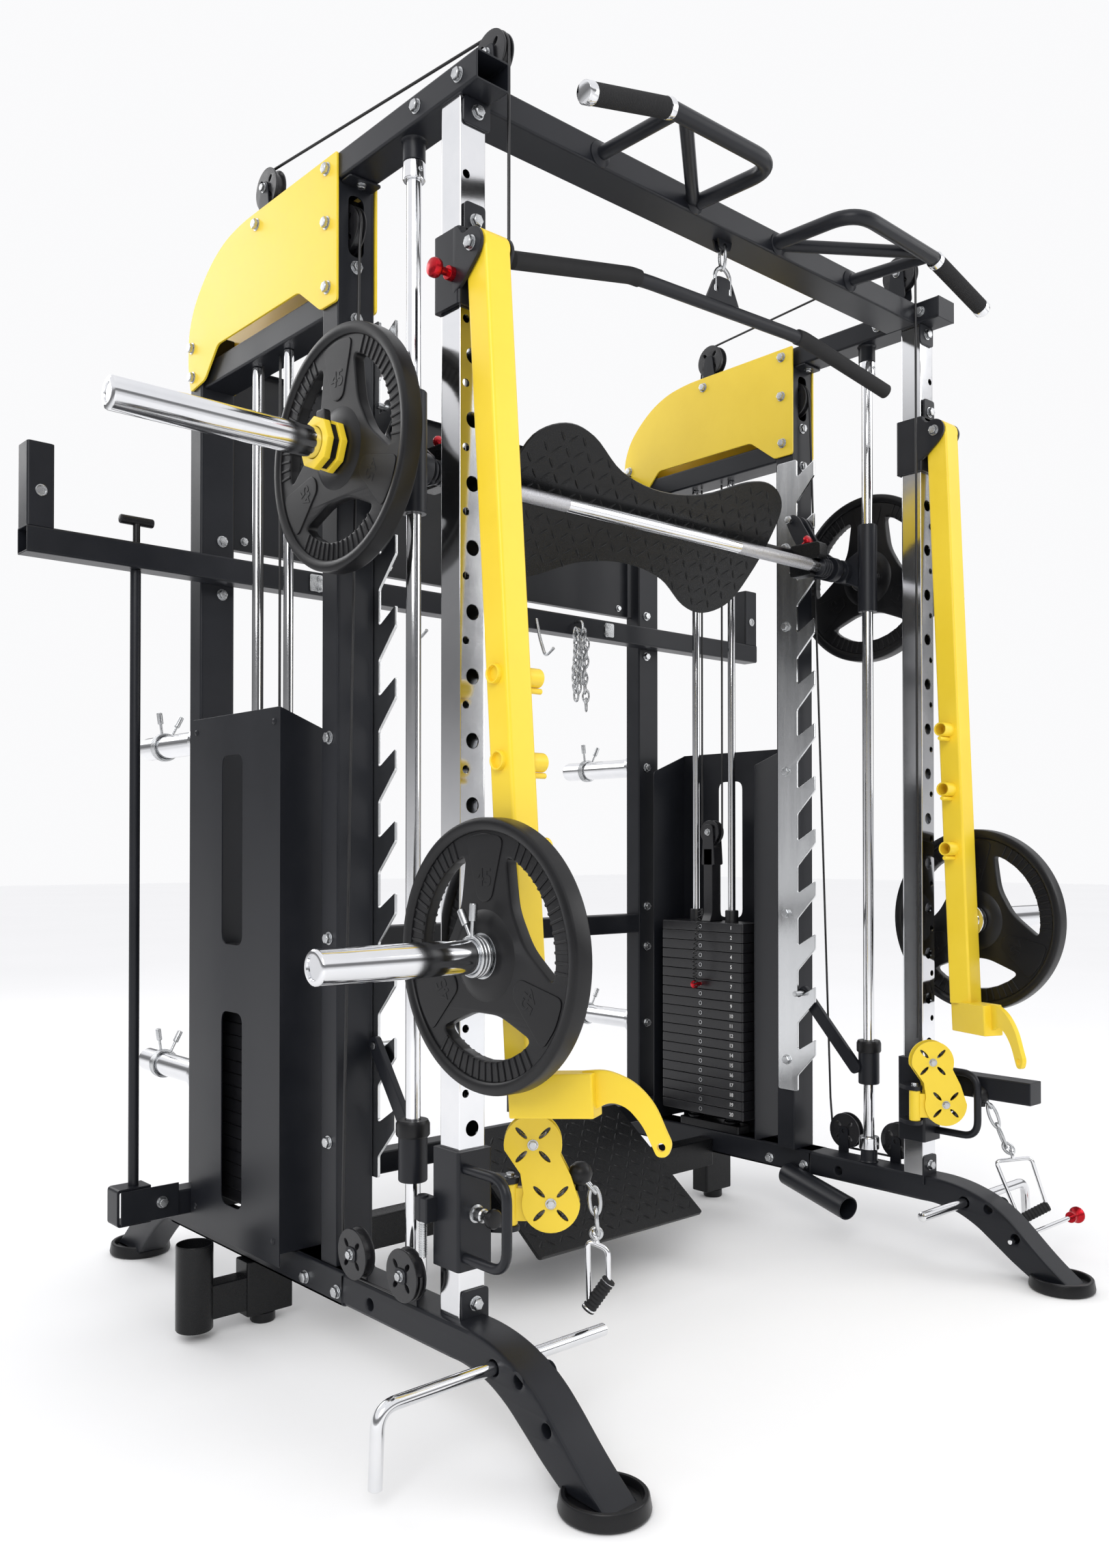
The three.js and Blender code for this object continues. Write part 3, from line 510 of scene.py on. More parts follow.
RED = new_material("red_anodised", "red_anodised", (0.42, 0.006, 0.014), 0.26, 0.8,
                   other=(0.52, 0.012, 0.022), patches=50, grain=1500, bump=0.06)
STACK = new_material("stack_paint", "stack_steel", (0.01, 0.01, 0.012), 0.34, other=(0.016, 0.016, 0.018),
                     patches=18, grain=800, bump=0.3)
PLASTIC = new_material("pulley_nylon", "black_paint", (0.009, 0.009, 0.011), 0.32,
                       other=(0.015, 0.015, 0.017), patches=40, grain=1200, bump=0.15)
PRINT = new_material("white_print", "white_marking", (0.72, 0.72, 0.72), 0.55, other=(0.8, 0.8, 0.79),
                     patches=80, grain=900, bump=0.1)
KNURL = new_material("knurled_steel", "chrome", (0.42, 0.42, 0.44), 0.32, 1.0, other=(0.6, 0.6, 0.62),
                     patches=700, grain=1500, bump=0.9, spread=0.12)

# ---------------------------------------------------------------- small hardware
collected = {}


def collect(kind, look, body, shape, matrix=Matrix.Identity(4)):
    """Small pieces alike in look and body become one piece at the end."""
    key = f"{body}_{kind}"
    if key not in collected:
        collected[key] = (Shape(), look, body)
    collected[key][0].merge(shape, matrix)


def hex_bolt(size=9.6):
    """Washer, hexagonal head and its chamfered top, standing on z = 0."""
    washer = sleeve(size * 1.22, size * 0.5, 0, size * 0.16, size * 0.05, 28)
    rim = circle(size, 6)
    head = moved(plate(rim, size * 0.76, (), size * 0.12), standing(0, 0, size * 0.16))
    dome = lathe([(size * 0.8, size * 0.9), (size * 0.74, size * 0.97), (0, size * 0.99)], 24)
    return merged(washer, head, dome)


CROSS = (45, 135, 225, 315)
BOLT = hex_bolt()
SMALL_BOLT = hex_bolt(7.2)


def bolt(body, matrix, small=False):
    collect("bolts", ZINC, body, SMALL_BOLT if small else BOLT, matrix)


def pulley(radius, width):
    """Grooved wheel along z, centred on z = 0, with four slots in a cross."""
    thick, overlap = 3.4, 3
    slots = [ellipse(radius * 0.19, radius * 0.1, a, *polar(radius * 0.54, a), 14) for a in CROSS]
    cheek = plate(circle(radius, 40), thick, slots, 1.2)
    seat = plate(circle(radius - 6, 40), width - 2 * overlap, slots, 0.3)
    return merged(moved(cheek, standing(0, 0, -width / 2)), moved(cheek, standing(0, 0, width / 2 - thick)),
                  moved(seat, standing(0, 0, -width / 2 + overlap)))


def knob(radius, length, stem=6):
    """Round knob on a stem along z."""
    return lathe([(0, 0), (stem, 0), (stem, length * 0.45), (radius * 0.62, length * 0.5),
                  (radius * 0.9, length * 0.58), (radius, length * 0.68), (radius, length * 0.86),
                  (radius * 0.88, length * 0.95), (radius * 0.5, length), (0, length)], 32)


def link_ring(major, minor, count=32):
    """Ring of round wire on the xy plane."""
    shape = Shape()
    rings = []
    for x, y in circle(major, count):
        centre = Vector((x, y, 0))
        out = centre.normalized()
        rings.append(shape.ring([centre + out * a * minor + Vector((0, 0, b * minor))
                                 for a, b in circle(1, 10)]))
    return shape.skin(rings, True)


def spring_clip(radius):
    """Round spring clamp with two handles, along z."""
    coils = Shape()
    for i in range(3):
        coils.merge(link_ring(radius + 3, 3, 36), standing(0, 0, i * 6))
    for angle, z in ((62, 0), (98, 12)):
        a = math.radians(angle)
        out = Vector((math.cos(a), math.sin(a), 0))
        for start, end, thick, sides, soft in ((2, 34, 3, 10, 1.0), (26, 52, 6, 14, 2)):
            coils.merge(bar_between(out * (radius + start) + Vector((0, 0, z)),
                                    out * (radius + end) + Vector((0, 0, z)), thick, sides, soft))
    return coils


# ---------------------------------------------------------------- side frames
def rail_outline():
    top = smooth([(-493, 14), (-462, 36), (-425, 66), (-376, 110), (-340, 137), (-300, 157), (-250, 172),
                  (-195, RAIL_TOP), (-130, RAIL_TOP)])
    rear_top = smooth([(820, RAIL_TOP), (868, 178), (915, 163), (965, 126), (1026, 66), (1085, 14)])
    rear_low = smooth([(975, 14), (925, 60), (875, 100), (840, 119), (800, RAIL_BOTTOM)])
    low = smooth([(-150, RAIL_BOTTOM), (-185, RAIL_BOTTOM), (-235, 115), (-280, 96), (-318, 71), (-365, 38),
                  (-405, 14)])
    return top + rear_top + rear_low + low


def base_rails(side, s):
    """Base rail with its curved feet, rubber pads and the two base pulleys."""
    drilled = ((-255, 140, 11), (-311, 137, 9), (-372, 88, 9), (69, 146, 9))
    holes = [circle(r, 20, y, z) for y, z, r in drilled]
    rail = moved(plate(rail_outline(), 64, holes, 6), side_on(s, 620))
    lap = moved(plate(rectangle(146, 812, RAIL_BOTTOM - 1.5, RAIL_TOP, 1, 2), 67, (), 5), side_on(s, 618.5))
    make(f"{side}_base_rail_tube", merged(rail, lap), BLACK, replaces=[f"{side}_base_rail"])
    feet = Shape()
    for y in FOOT_YS:
        foot = lathe([(0, 0), (60, 0), (64, 3), (65, 7), (62, 24), (60, 26), (55, 26), (53, 23), (52, 15),
                      (0, 15)], 56)
        feet.merge(foot, standing(s * 652, y, 0))
    glide = lathe([(0, 0), (22, 0), (24, 3), (24, 18), (20, 22), (9, 25), (0, 25)], 36)
    feet.merge(glide, standing(s * 652, 483, 0))
    make(f"{side}_feet", feet, RUBBER)
    for y, z in ((268.7, 142.8), (165.4, 143.3), (811, 146.7)):
        bolt("frame", side_on(s, 685.5, y, z))
        bolt("frame", side_on(-s, -618.5, y, z))
    wheels = Shape()
    plates = Shape()
    for y, z in (BASE_WHEEL_BACK, BASE_WHEEL_FRONT):
        wheels.merge(pulley(42, 20), side_on(s, 692, y, z))
        bolt("frame", side_on(s, 704, y, z), True)
        arm = fillet([(y - 16, 128), (y + 16, 128), (y + 12, z + 10), (y - 12, z + 10)], 9)
        plates.merge(plate(arm, 3.5, [circle(5, 16, y, z)], 0.6), side_on(s, 678.2))
        guard = [(y - 14, z + 12), (y - 14, z - 12), (y + 14, z - 12), (y + 14, z + 12)]
        plates.merge(plate(fillet(guard, 9), 2.4, (), 0.5), side_on(s, 702))
    make(f"{side}_base_pulleys", wheels, PLASTIC)
    make(f"{side}_base_pulley_arms", plates, BLACK)


def front_uprights(side, s):
    """Chrome upright with its rows of holes, and the tongues that bolt it down."""
    x0 = s * UPRIGHT_X
    length = TOP_BOTTOM - RAIL_TOP - 0.6
    half = 25
    back = fillet([(-21, -half), (-half, -half), (-half, half), (half, half), (half, -half), (21, -half)],
                  [0, 4, 4, 4, 4, 0], 5)
    inner = fillet([(21, -half + 3), (half - 3, -half + 3), (half - 3, half - 3), (-half + 3, half - 3),
                    (-half + 3, -half + 3), (-21, -half + 3)], [0, 1, 1, 1, 1, 0], 3)
    channel = moved(plate(back + inner, length, (), 0.3), standing(x0, UPRIGHT_Y, RAIL_TOP + 0.3))
    top = RAIL_TOP + 0.3 + length
    # The front wall is made in bands, since one flat face with all the holes doesn't fill.
    below_hole, below_pin_hole = 79, 34
    first = UPRIGHT_HOLE_LOW - below_hole
    last = UPRIGHT_HOLE_HIGH - below_hole + 2 * UPRIGHT_HOLE_STEP
    edges = [RAIL_TOP + 0.3] + list(range(first, last + 1, UPRIGHT_HOLE_STEP)) + [top]
    face = Shape()
    for low, high in zip(edges, edges[1:]):
        holes = []
        if low == last:
            holes.append(circle(7, 20, 13, 1950))
        elif low >= first:
            holes.append(circle(6.5, 20, 13, low + below_pin_hole))
            if low + below_hole <= UPRIGHT_HOLE_HIGH:
                holes.append(circle(12.5, 32, 0, low + below_hole))
        face.merge(plate([(-21, low), (21, low), (21, high), (-21, high)], 3, holes, 0.02))
    face = moved(face, axes((s, 0, 0), (0, 0, 1), (0, -1, 0), (x0, UPRIGHT_FRONT + 3, 0)))
    make(f"{side}_upright_tube", merged(channel, face), CHROME, replaces=[f"{side}_front_upright"])
    joints = Shape()
    for x, z0, z1, hz in ((639.5, 2028, 2071, 2050.6), (641.5, 159, 222, 200)):
        tongue = plate(rectangle(-26, 26, z0, z1 - 0.4, 7, 4), 4, [circle(6, 16, 0, hz)], 0.8)
        joints.merge(tongue, front_on(s * x, UPRIGHT_FRONT - 0.4, 0))
        bolt("frame", front_on(s * x, UPRIGHT_FRONT - 4.4, hz))
    make(f"{side}_upright_tongues", joints, BLACK)


def top_rails(side, s):
    """Rail along the top of one side, with the rear top pulley."""
    width = POST_OUT - 612
    height = TOP_TOP - TOP_BOTTOM
    rail = square_tube(width, height, 766, 3.2, 5)
    turn = back_on(s * (612 + width / 2), -206, (TOP_TOP + TOP_BOTTOM) / 2)
    tube = moved(rail, turn)
    if s > 0:
        tube.merge(block(612.5, POST_OUT - 0.5, -207.5, -204, TOP_BOTTOM + 0.5, TOP_TOP - 0.5, 1, 4))
    cheeks = Shape()
    arm = fillet([(452, TOP_TOP), (496, TOP_TOP), (486, 2186), (462, 2186)], 10)
    for x in (629, 658):
        cheeks.merge(plate(arm, 3, (), 0.6), side_on(s, x))
    make(f"{side}_top_rail_tube", merged(tube, cheeks), BLACK, replaces=[f"{side}_top_rail"])
    make(f"{side}_top_rear_pulley", moved(pulley(40, 22), side_on(s, 645, *TOP_REAR_WHEEL)), PLASTIC)
    bolt("frame", side_on(s, 661, *TOP_REAR_WHEEL), True)
    for y in (-162, -51):
        bolt("frame", side_on(s, POST_OUT, y, 2094.5))
        bolt("frame", side_on(-s, -612, y, 2094.5))


def middle_posts(side, s):
    """Black post with a slot for its pulley near the top."""
    x0 = s * (POST_IN + POST_OUT) / 2
    length = TOP_BOTTOM - RAIL_TOP - 0.6
    z0 = RAIL_TOP + 0.3
    half = (POST_OUT - POST_IN) / 2
    slot = fillet([(-16, 1944), (16, 1944), (16, 2052), (-16, 2052)], 16, 8)
    slot = [(x + s * 640 - x0, z) for x, z in slot]
    strip = plate(rectangle(-half + 5, half - 5, z0, z0 + length, 0.1, 1), 3, [slot], 0.4)
    walls = Shape()
    walls.merge(strip, front_on(x0, MID_FRONT + 3, 0))
    walls.merge(strip, front_on(x0, MID_BACK, 0))
    for e in (-1, 1):
        bracket = fillet([(half - 5, -25), (half, -25), (half, 25), (half - 5, 25), (half - 5, 22),
                          (half - 3, 22), (half - 3, -22), (half - 5, -22)], [0, 5, 5, 0, 0, 1, 1, 0], 4)
        bracket = [(e * x, y) for x, y in bracket]
        walls.merge(plate(bracket, length, (), 0.2), standing(x0, (MID_FRONT + MID_BACK) / 2, z0))
    make(f"{side}_middle_post_tube", walls, BLACK, replaces=[f"{side}_middle_post"])
    axle = side_on(s, 640, *POST_WHEEL)
    make(f"{side}_post_pulley", moved(pulley(44, 20), axle), PLASTIC)
    collect("pins", ZINC, "frame", drum(5, -20, 20, 1, 16), axle)
    for z in (1925, 1833):
        bolt("frame", front_on(s * 640, MID_FRONT, z))
    for z in (1096, 745, 390):
        bolt("frame", side_on(s, POST_OUT, 207, z))
    ears = plate(rectangle(s * 640 - 32, s * 640 + 32, 150, 182, 5), 4, [circle(6, 16, s * 640, 165)], 0.8)
    make(f"{side}_post_top_ear", moved(ears, standing(0, 0, 2066)), BLACK)
    bolt("frame", axes((1, 0, 0), (0, -1, 0), (0, 0, -1), (s * 640, 165, 2066)), True)


def rear_posts():
    """The two rear posts, their cross tube, and the horns that store plates."""
    tubes = Shape()
    horns = Shape()
    clips = Shape()
    for s in (-1, 1):
        tube = square_tube(POST_OUT - POST_IN, REAR_BACK - REAR_FRONT, 1960 - RAIL_TOP - 0.3, 3.2, 5)
        middle = (REAR_FRONT + REAR_BACK) / 2
        tubes.merge(tube, standing(s * (POST_IN + POST_OUT) / 2, middle, RAIL_TOP + 0.3))
        for z in (430, 1125):
            place = back_on(s * 640, REAR_BACK, z)
            horn = lathe([(0, 0), (24.6, 0), (25, 1), (25, 271), (24, 274), (21, 275), (17, 275), (16, 272),
                          (0, 272)], 40)
            horns.merge(horn, place)
            flange = lathe([(0, 0), (36, 0), (37, 1.2), (37, 10.5), (35.5, 12), (25, 12)], 40)
            horns.merge(flange, place)
            clips.merge(spring_clip(25), place @ standing(0, 0, 190))
        for z in (1537, 1427, 1123, 746, 637, 429):
            bolt("frame", front_on(s * 630, REAR_FRONT, z))
    beam = square_tube(50, 50, 2 * POST_IN, 3.2, 5)
    tubes.merge(beam, side_on(1, -POST_IN, 725, 700))
    make("rear_post_tubes", tubes, BLACK, replaces=["rear_frame"])
    make("rear_horns", horns, CHROME)
    make("rear_spring_clips", clips, ZINC)


def gusset_outline():
    corners = [(179, 2117), (179, 1855), (234, 1855), (309, 1911), (622, 1911), (678, 1855), (740, 1846),
               (750, 1900), (750, 1962), (730, 2010), (698, 2045), (650, 2082), (591, 2107), (520, 2117)]
    radii = [4, 8, 8, 10, 10, 10, 8, 6, 30, 30, 30, 40, 40, 40]
    return fillet(corners, radii, 5)


def headers(side, s):
    """Header between the posts, with a yellow gusset on both faces."""
    rail = square_tube(68, 50, REAR_FRONT - MID_BACK - 0.6, 3.2, 5)
    turn = back_on(s * 636, MID_BACK + 0.3, 1871)
    make(f"{side}_header_tube", moved(rail, turn), BLACK, replaces=[f"{side}_header_rail"])
    bolts = ((211, 2097), (212, 2002), (209, 1887), (463, 2092), (732, 1934), (729, 1873))
    holes = [circle(6, 14, y, z) for y, z in bolts]
    outer = moved(plate(gusset_outline(), 4.7, holes, 0.9), side_on(s, POST_OUT + 0.3))
    make(f"{side}_gusset_sheet", outer, YELLOW, replaces=[f"{side}_gusset_plate"])
    inner = moved(plate(gusset_outline(), 4.7, holes, 0.9), side_on(s, POST_IN - 5))
    make(f"{side}_inner_gusset_sheet", inner, YELLOW)
    for y, z in bolts:
        bolt("frame", side_on(s, POST_OUT + 5, y, z))
        bolt("frame", side_on(-s, -POST_IN + 5, y, z))


def guide_rods(side, s):
    """Rod that the carriage slides on, with its sockets."""
    at = standing(s * ROD_X, 0, 0)
    shaft = drum(ROD_R, RAIL_TOP + 0.3, TOP_BOTTOM - 0.3, 1, 40)
    clamp = collar(13, 19, 2004, 2034, 1.4, 2)
    ring = lathe([(13, 207), (21, 207), (23, 209), (23, 233), (21.5, 236), (13, 236)], 40)
    make(f"{side}_guide_shaft", moved(merged(shaft, clamp, ring), at), CHROME,
         replaces=[f"{side}_guide_rod"])
    socket = lathe([(13, 2035), (18, 2035), (19, 2036.5), (19, 2066), (22, 2070.7), (13, 2070.7)], 40)
    cup = lathe([(13, 179.3), (22, 179.3), (19, 184), (19, 205), (18, 207), (13, 207)], 40)
    make(f"{side}_guide_sockets", moved(merged(socket, cup), at), BLACK)
    for y, z in ((-18, 2019), (-22, 222)):
        collect("pins", ZINC, "frame", moved(sleeve(4, 2, 0, 3, 0.5, 18), front_on(s * ROD_X, y, z)))


def stack_rods(side, s):
    """Two rods through the weight stack, and the bumpers under it."""
    rods = Shape()
    for y in STACK_ROD_YS:
        rods.merge(drum(9.5, 190, 1845, 1, 28), standing(s * STACK_X, y, 0))
    make(f"{side}_stack_rods", rods, CHROME, replaces=[f"{side}_stack_guides"])
    foot = block(s * 620, s * 670, 370, 570, 179.3, 199, 1.5, 8)
    bumper = lathe([(10, 199), (19, 199), (21, 202), (21, 206), (17, 209), (19, 213), (17, 221),
                    (10, 221.7)], 32)
    for y in STACK_ROD_YS:
        foot.merge(bumper, standing(s * STACK_X, y, 0))
    make(f"{side}_stack_bumpers", foot, RUBBER)


def rack_plates(side, s):
    """Toothed plate that the bar hooks into."""
    corners = [(RACK_BACK, RACK_BOTTOM), (RACK_BACK, RACK_TOP), (RACK_FRONT, RACK_TOP)]
    radii = [5, 5, 5]
    for tip in range(RACK_FIRST_TIP, RACK_LAST_TIP, -RACK_PITCH):
        corners += [(RACK_FRONT, tip - 31), (RACK_TEETH, tip), (RACK_TEETH, tip - 36), (RACK_FRONT, tip - 90)]
        radii += [9, 3, 3, 4]
    corners.append((RACK_FRONT, RACK_BOTTOM))
    radii.append(5)
    marks = (1629, 1439, 1088, 747, 394)
    holes = [circle(5.5, 14, 199, z) for z in marks]
    sheet = plate(fillet(corners, radii, 4), 5.7, holes, 0.7)
    make(f"{side}_rack_sheet", moved(sheet, side_on(s, POST_IN - 6)), BRUSHED,
         replaces=[f"{side}_rack_plate"])
    for z in marks:
        bolt("frame", side_on(-s, -POST_IN + 6, 199, z))


def shrouds(side, s):
    """Folded cover outside the weight stack."""
    windows = [rectangle(438, 519, z0, z1, 22, 6) for z0, z1 in ((229, 594), (721, 1079))]
    face = plate(rectangle(299, 645, 158, 1156, 4), 2.4, windows, 0.5)
    sheet = moved(face, side_on(s, 719))
    flange = fillet([(600, 182), (720, 182), (720, 1155), (600, 1108)], [8, 1, 1, 8], 4)
    for y in (301.5, 645):
        sheet.merge(moved(plate(flange, 2.4, (), 0.5), mirror(s) @ front_on(0, y, 0)))
    make(f"{side}_shroud_sheet", sheet, BLACK, replaces=[f"{side}_stack_shroud"])
    rivet = lathe([(6, 0), (5.4, 1.6), (3.4, 2.6), (0, 3)], 20)
    for y in (320, 625):
        for z in (200, 1130):
            collect("rivets", BLACK, "frame", rivet, side_on(s, 721.4, y, z))


def leg_pegs(side, s):
    """Chrome peg through the front leg, bent down at its outer end."""
    path = bend([(s * 458, -255, 140), (s * 884, -255, 140), (s * 890, -257, 33)], 30, 10)
    make(f"{side}_peg_rod", pipe(path, 10, 28, 3), CHROME, f"{side}_leg_peg", [f"{side}_leg_peg"])


# ---------------------------------------------------------------- cross members
def pull_up_beam():
    """Front beam with two pairs of pull-up handles and the front top pulleys."""
    beam = cross_tube(77, TOP_TOP - TOP_BOTTOM, 611.5, -111.5, (TOP_TOP + TOP_BOTTOM) / 2)
    rubber = Shape()
    caps = Shape()
    for side, s in SIDES:
        inner = [(s * 385, -335, 2081), (s * 117, -337, 2085), (s * 117, -150, 2092)]
        beam.merge(pipe(bend(inner, 60, 10), 14, 22))
        beam.merge(bar_between((s * 363, -148, 2092), (s * 370, -335, 2082), 12, 20))
        beam.merge(bar_between((s * 123, -148, 2092), (s * 350, -335, 2082), 12, 20))
        for x in (s * 363, s * 123):
            beam.merge(lathe([(12, 0), (22, 0), (22, 2), (15, 6), (12, 7)], 28), front_on(x, -150, 2092))
        a, b = Vector((s * 385, -335, 2081)), Vector((s * 576, -335, 2031))
        length = (b - a).length
        ridges = 46
        step = (length - 34) / ridges
        grip = [(12, 0)]
        for i in range(ridges):
            z = 14 + (length - 34) * i / ridges
            grip += [(15.5, z), (16.4, z + step * 0.3), (16.4, z + step * 0.6), (15.5, z + step * 0.9)]
        grip += [(15.5, length - 18), (12, length - 18)]
        rubber.merge(lathe(grip, 28), between(a, b))
        caps.merge(lathe([(0, length - 18), (16.6, length - 18), (17.2, length - 16), (17.2, length - 4),
                          (15, length - 1), (10, length), (0, length)], 32), between(a, b))
        ring = lathe([(12, 0), (16.6, 0), (17.2, 1.5), (17.2, 11), (16.6, 13), (12, 13)], 32)
        caps.merge(ring, between(a, b))
        cheeks = fillet([(-152, TOP_TOP - 2), (-106, TOP_TOP - 2), (-116, 2190), (-146, 2190)], 10)
        for x in (567, 594):
            beam.merge(plate(cheeks, 3, (), 0.6), side_on(s, x))
        wheel = moved(pulley(40, 20), side_on(s, TROLLEY_ROPE_X, *TOP_FRONT_WHEEL))
        make(f"{side}_top_front_pulley", wheel, PLASTIC)
        bolt("frame", side_on(s, 597, *TOP_FRONT_WHEEL), True)
        bolt("frame", side_on(-s, -567, *TOP_FRONT_WHEEL), True)
    middle = fillet([(-20, TOP_BOTTOM), (20, TOP_BOTTOM), (14, 2052), (-14, 2052)], [0, 0, 8, 8])
    for y in (-104, -116):
        beam.merge(plate(middle, 4, [circle(5, 14, 0, 2061)], 0.6), front_on(0, y, 0))
    make("pull_up_beam_tubes", beam, BLACK, replaces=["front_top_beam"])
    make("pull_up_grips", rubber, GRIP)
    make("pull_up_caps", caps, CHROME)


def rear_beams():
    """The two rear cross beams, the band rod, the hooks and the hanging chain."""
    beam = cross_tube(49.5, 50, 1042, REAR_BEAM_Y, 1470)
    for s in (-1, 1):
        post = square_tube(50, 49.5, 155, 3.2, 5)
        beam.merge(post, standing(s * 1017, REAR_BEAM_Y, 1494))
        collect("pins", ZINC, "frame", sleeve(11, 8, 0, 3, 0.6, 24), front_on(s * 1017, 650.5, 1560))
        collect("pins", ZINC, "frame", drum(8, 0, 1.2, 0.2, 24), front_on(s * 1017, 651, 1560))
        beam.merge(block(s * 993, s * 1041, 651, 699, 1646, 1650, 1, 6))
    low = cross_tube(49.5, 49.5, 805, REAR_BEAM_Y, 204)
    cup = fillet([(-868, 178), (-800, 178), (-800, 183.5), (-862.5, 183.5), (-862.5, 244.5), (-800, 244.5),
                  (-800, 250), (-868, 250)], [8, 1, 1, 4, 4, 1, 1, 8], 5)
    low.merge(plate(cup, 46, (), 0.8), front_on(0, 698, 0))
    low.merge(block(-862, -745, 646.5, 649.5, 182, 246, 0.8, 5))
    bolt("frame", front_on(-780, 646.5, 214))
    make("rear_mid_beam_tubes", beam, BLACK, replaces=["rear_mid_beam"])
    make("rear_base_beam_tube", low, BLACK, replaces=["rear_base_beam"])
    make("band_rod", moved(drum(10, 240, 1444.7, 1.5, 28), standing(-826, 675, 0)), BLACK)
    handle = drum(7, 0, 42, 1, 20)
    handle.merge(drum(9, -34, 34, 3, 24), side_on(1, 0, 0, 46))
    collect("t_handle", RUBBER, "frame", handle, standing(-824.5, 675, 1495))
    hooks = Shape()
    for s in (-1, 1):
        hook = [(s * 190, y, z) for y, z in ((652, 1470), (638, 1420), (618, 1373), (588, 1390))]
        hooks.merge(pipe(bend(hook, 14, 8), 4, 14, 2))
        for z in (1460, 1480):
            bolt("frame", front_on(s * 430, 650.2, z), True)
        backing = rectangle(s * 438 - 16, s * 438 + 16, 1452, 1488, 5)
        hooks.merge(plate(backing, 4, (), 0.8), front_on(0, 650, 0))
    make("rear_hooks", hooks, ZINC)
    chain = Shape()
    ring = link_ring(11, 3.3, 20)
    stretch = Matrix.Diagonal((0.72, 1.35, 1, 1))
    for strand, (x, y, count) in enumerate(((306, 634, 8), (324, 626, 6), (341, 636, 9), (324, 644, 7))):
        for i in range(count):
            face = Matrix.Rotation(math.radians(90 * ((i + strand) % 2) + 20 * strand), 4, "Y")
            spot = standing(x + 3 * math.sin(i), y, 1444 - 22 * i)
            chain.merge(ring, spot @ Matrix.Rotation(math.pi / 2, 4, "X") @ face @ stretch)
    hook = [(322, y, z) for y, z in ((651, 1478), (628, 1478), (624, 1450), (638, 1446), (644, 1456))]
    chain.merge(pipe(bend(hook, 10, 6), 4, 14, 2))
    make("hanging_chain", chain, ZINC)


def panel():
    """Plain folded back panel."""
    face = plate(rectangle(-596, 596, 1530, 1920, 3), 2, (), 0.4)
    sheet = moved(face, front_on(0, 740, 0))
    for z in (1530, 1918):
        sheet.merge(block(-596, 596, 722, 740, z, z + 2, 0.4))
    make("back_panel_sheet", sheet, BLACK, replaces=["sign_panel"])
    for x in (-560, -190, 190, 560):
        for z in (1555, 1895):
            bolt("frame", front_on(x, 738, z), True)


def tread(shape, width, height, keep, matrix, rise=1.7):
    """Lozenge ridges in two directions, where keep(x, y) says there is room."""
    step = 27
    for i in range(int(-width / step) - 1, int(width / step) + 2):
        for j in range(int(-height / step) - 1, int(height / step) + 2):
            x, y = i * step, j * step
            if not keep(x, y):
                continue
            turn = math.radians(45 if (i + j) % 2 else -45)
            ridge = Shape()
            rim = ridge.ring([(12.5 * u, 2.7 * v, 0) for u, v in circle(1, 10)])
            top = ridge.ring([(9 * u, 1.2 * v, rise) for u, v in circle(1, 10)])
            peak = ridge.ring([(0, 0, rise * 1.15)])
            base = ridge.ring([(0, 0, -0.3)])
            ridge.skin([base, rim, top, peak])
            shape.merge(ridge, matrix @ standing(x, y, 0) @ Matrix.Rotation(turn, 4, "Z"))


def foot_platform():
    """Low cross beam with the tread plate and the holder for a bar."""
    beam = block(-619.7, 619.7, 452, 498, 90, 158, 3, 5)
    for s in (-1, 1):
        beam.merge(block(s * 600, s * 697, 458, 508, 20, 122.7, 2.5, 6))
    beam.merge(block(-780, -690, 462, 504, 32, 95, 2.5, 5))
    holder = lathe([(0, 17), (32.5, 17), (34, 19), (34, 172), (33, 174), (32, 174), (31, 172), (31, 22),
                    (0, 22)], 44)
    beam.merge(holder, standing(-792, 483, 0))
    rise, run = 195, 270
    slope = math.atan2(rise, run)
    length = math.hypot(rise, run)
    tilt = standing(0, 150, 107) @ Matrix.Rotation(slope, 4, "X")
    beam.merge(moved(plate(rectangle(-237, 237, 0, length, 8), 8, (), 1.2), tilt @ standing(0, 0, -8)))
    for x in (-150, 150):
        rib = fillet([(456, 95), (456, 150), (415, 293), (385, 271), (250, 174), (235, 148)], 10)
        beam.merge(plate(rib, 30, (), 2), side_on(1, x - 15))
    tread(beam, 237, length, lambda x, y: abs(x) < 224 and 12 < y < length - 12, tilt)
    make("foot_platform", beam, TREAD, replaces=["low_cross_frame"])


def leg_pin():
    """Chrome pin with a red knob, kept in a hole of the right front leg."""
    make("leg_pin_rod", moved(drum(5, 600, 875, 1, 20), side_on(1, 0, -372, 86)), CHROME)
    flared = lathe([(0, 0), (12, 0), (12, 5), (9, 8), (9, 20), (15, 27), (18, 29), (18, 32), (15, 34),
                    (0, 34)], 32)
    make("leg_pin_knob", moved(flared, side_on(1, 866, -372, 86)), RED)


def bar_tube():
    """Open tube for the end of a long bar, askew by the right base rail."""
    spin = standing(587, 105, 100)
    for degrees, axis in ((-14, "Z"), (8, "X")):
        spin = spin @ Matrix.Rotation(math.radians(degrees), 4, axis)
    tube = sleeve(27, 24, -110, 110, 0.8, 40)
    make("long_bar_tube", moved(tube, spin @ Matrix.Rotation(-math.pi / 2, 4, "X")), BLACK)


for side, s in SIDES:
    base_rails(side, s)
    front_uprights(side, s)
    top_rails(side, s)
    middle_posts(side, s)
    headers(side, s)
    guide_rods(side, s)
    stack_rods(side, s)
    rack_plates(side, s)
    shrouds(side, s)
    leg_pegs(side, s)
rear_posts()
pull_up_beam()
rear_beams()
panel()
foot_platform()
bar_tube()
leg_pin()


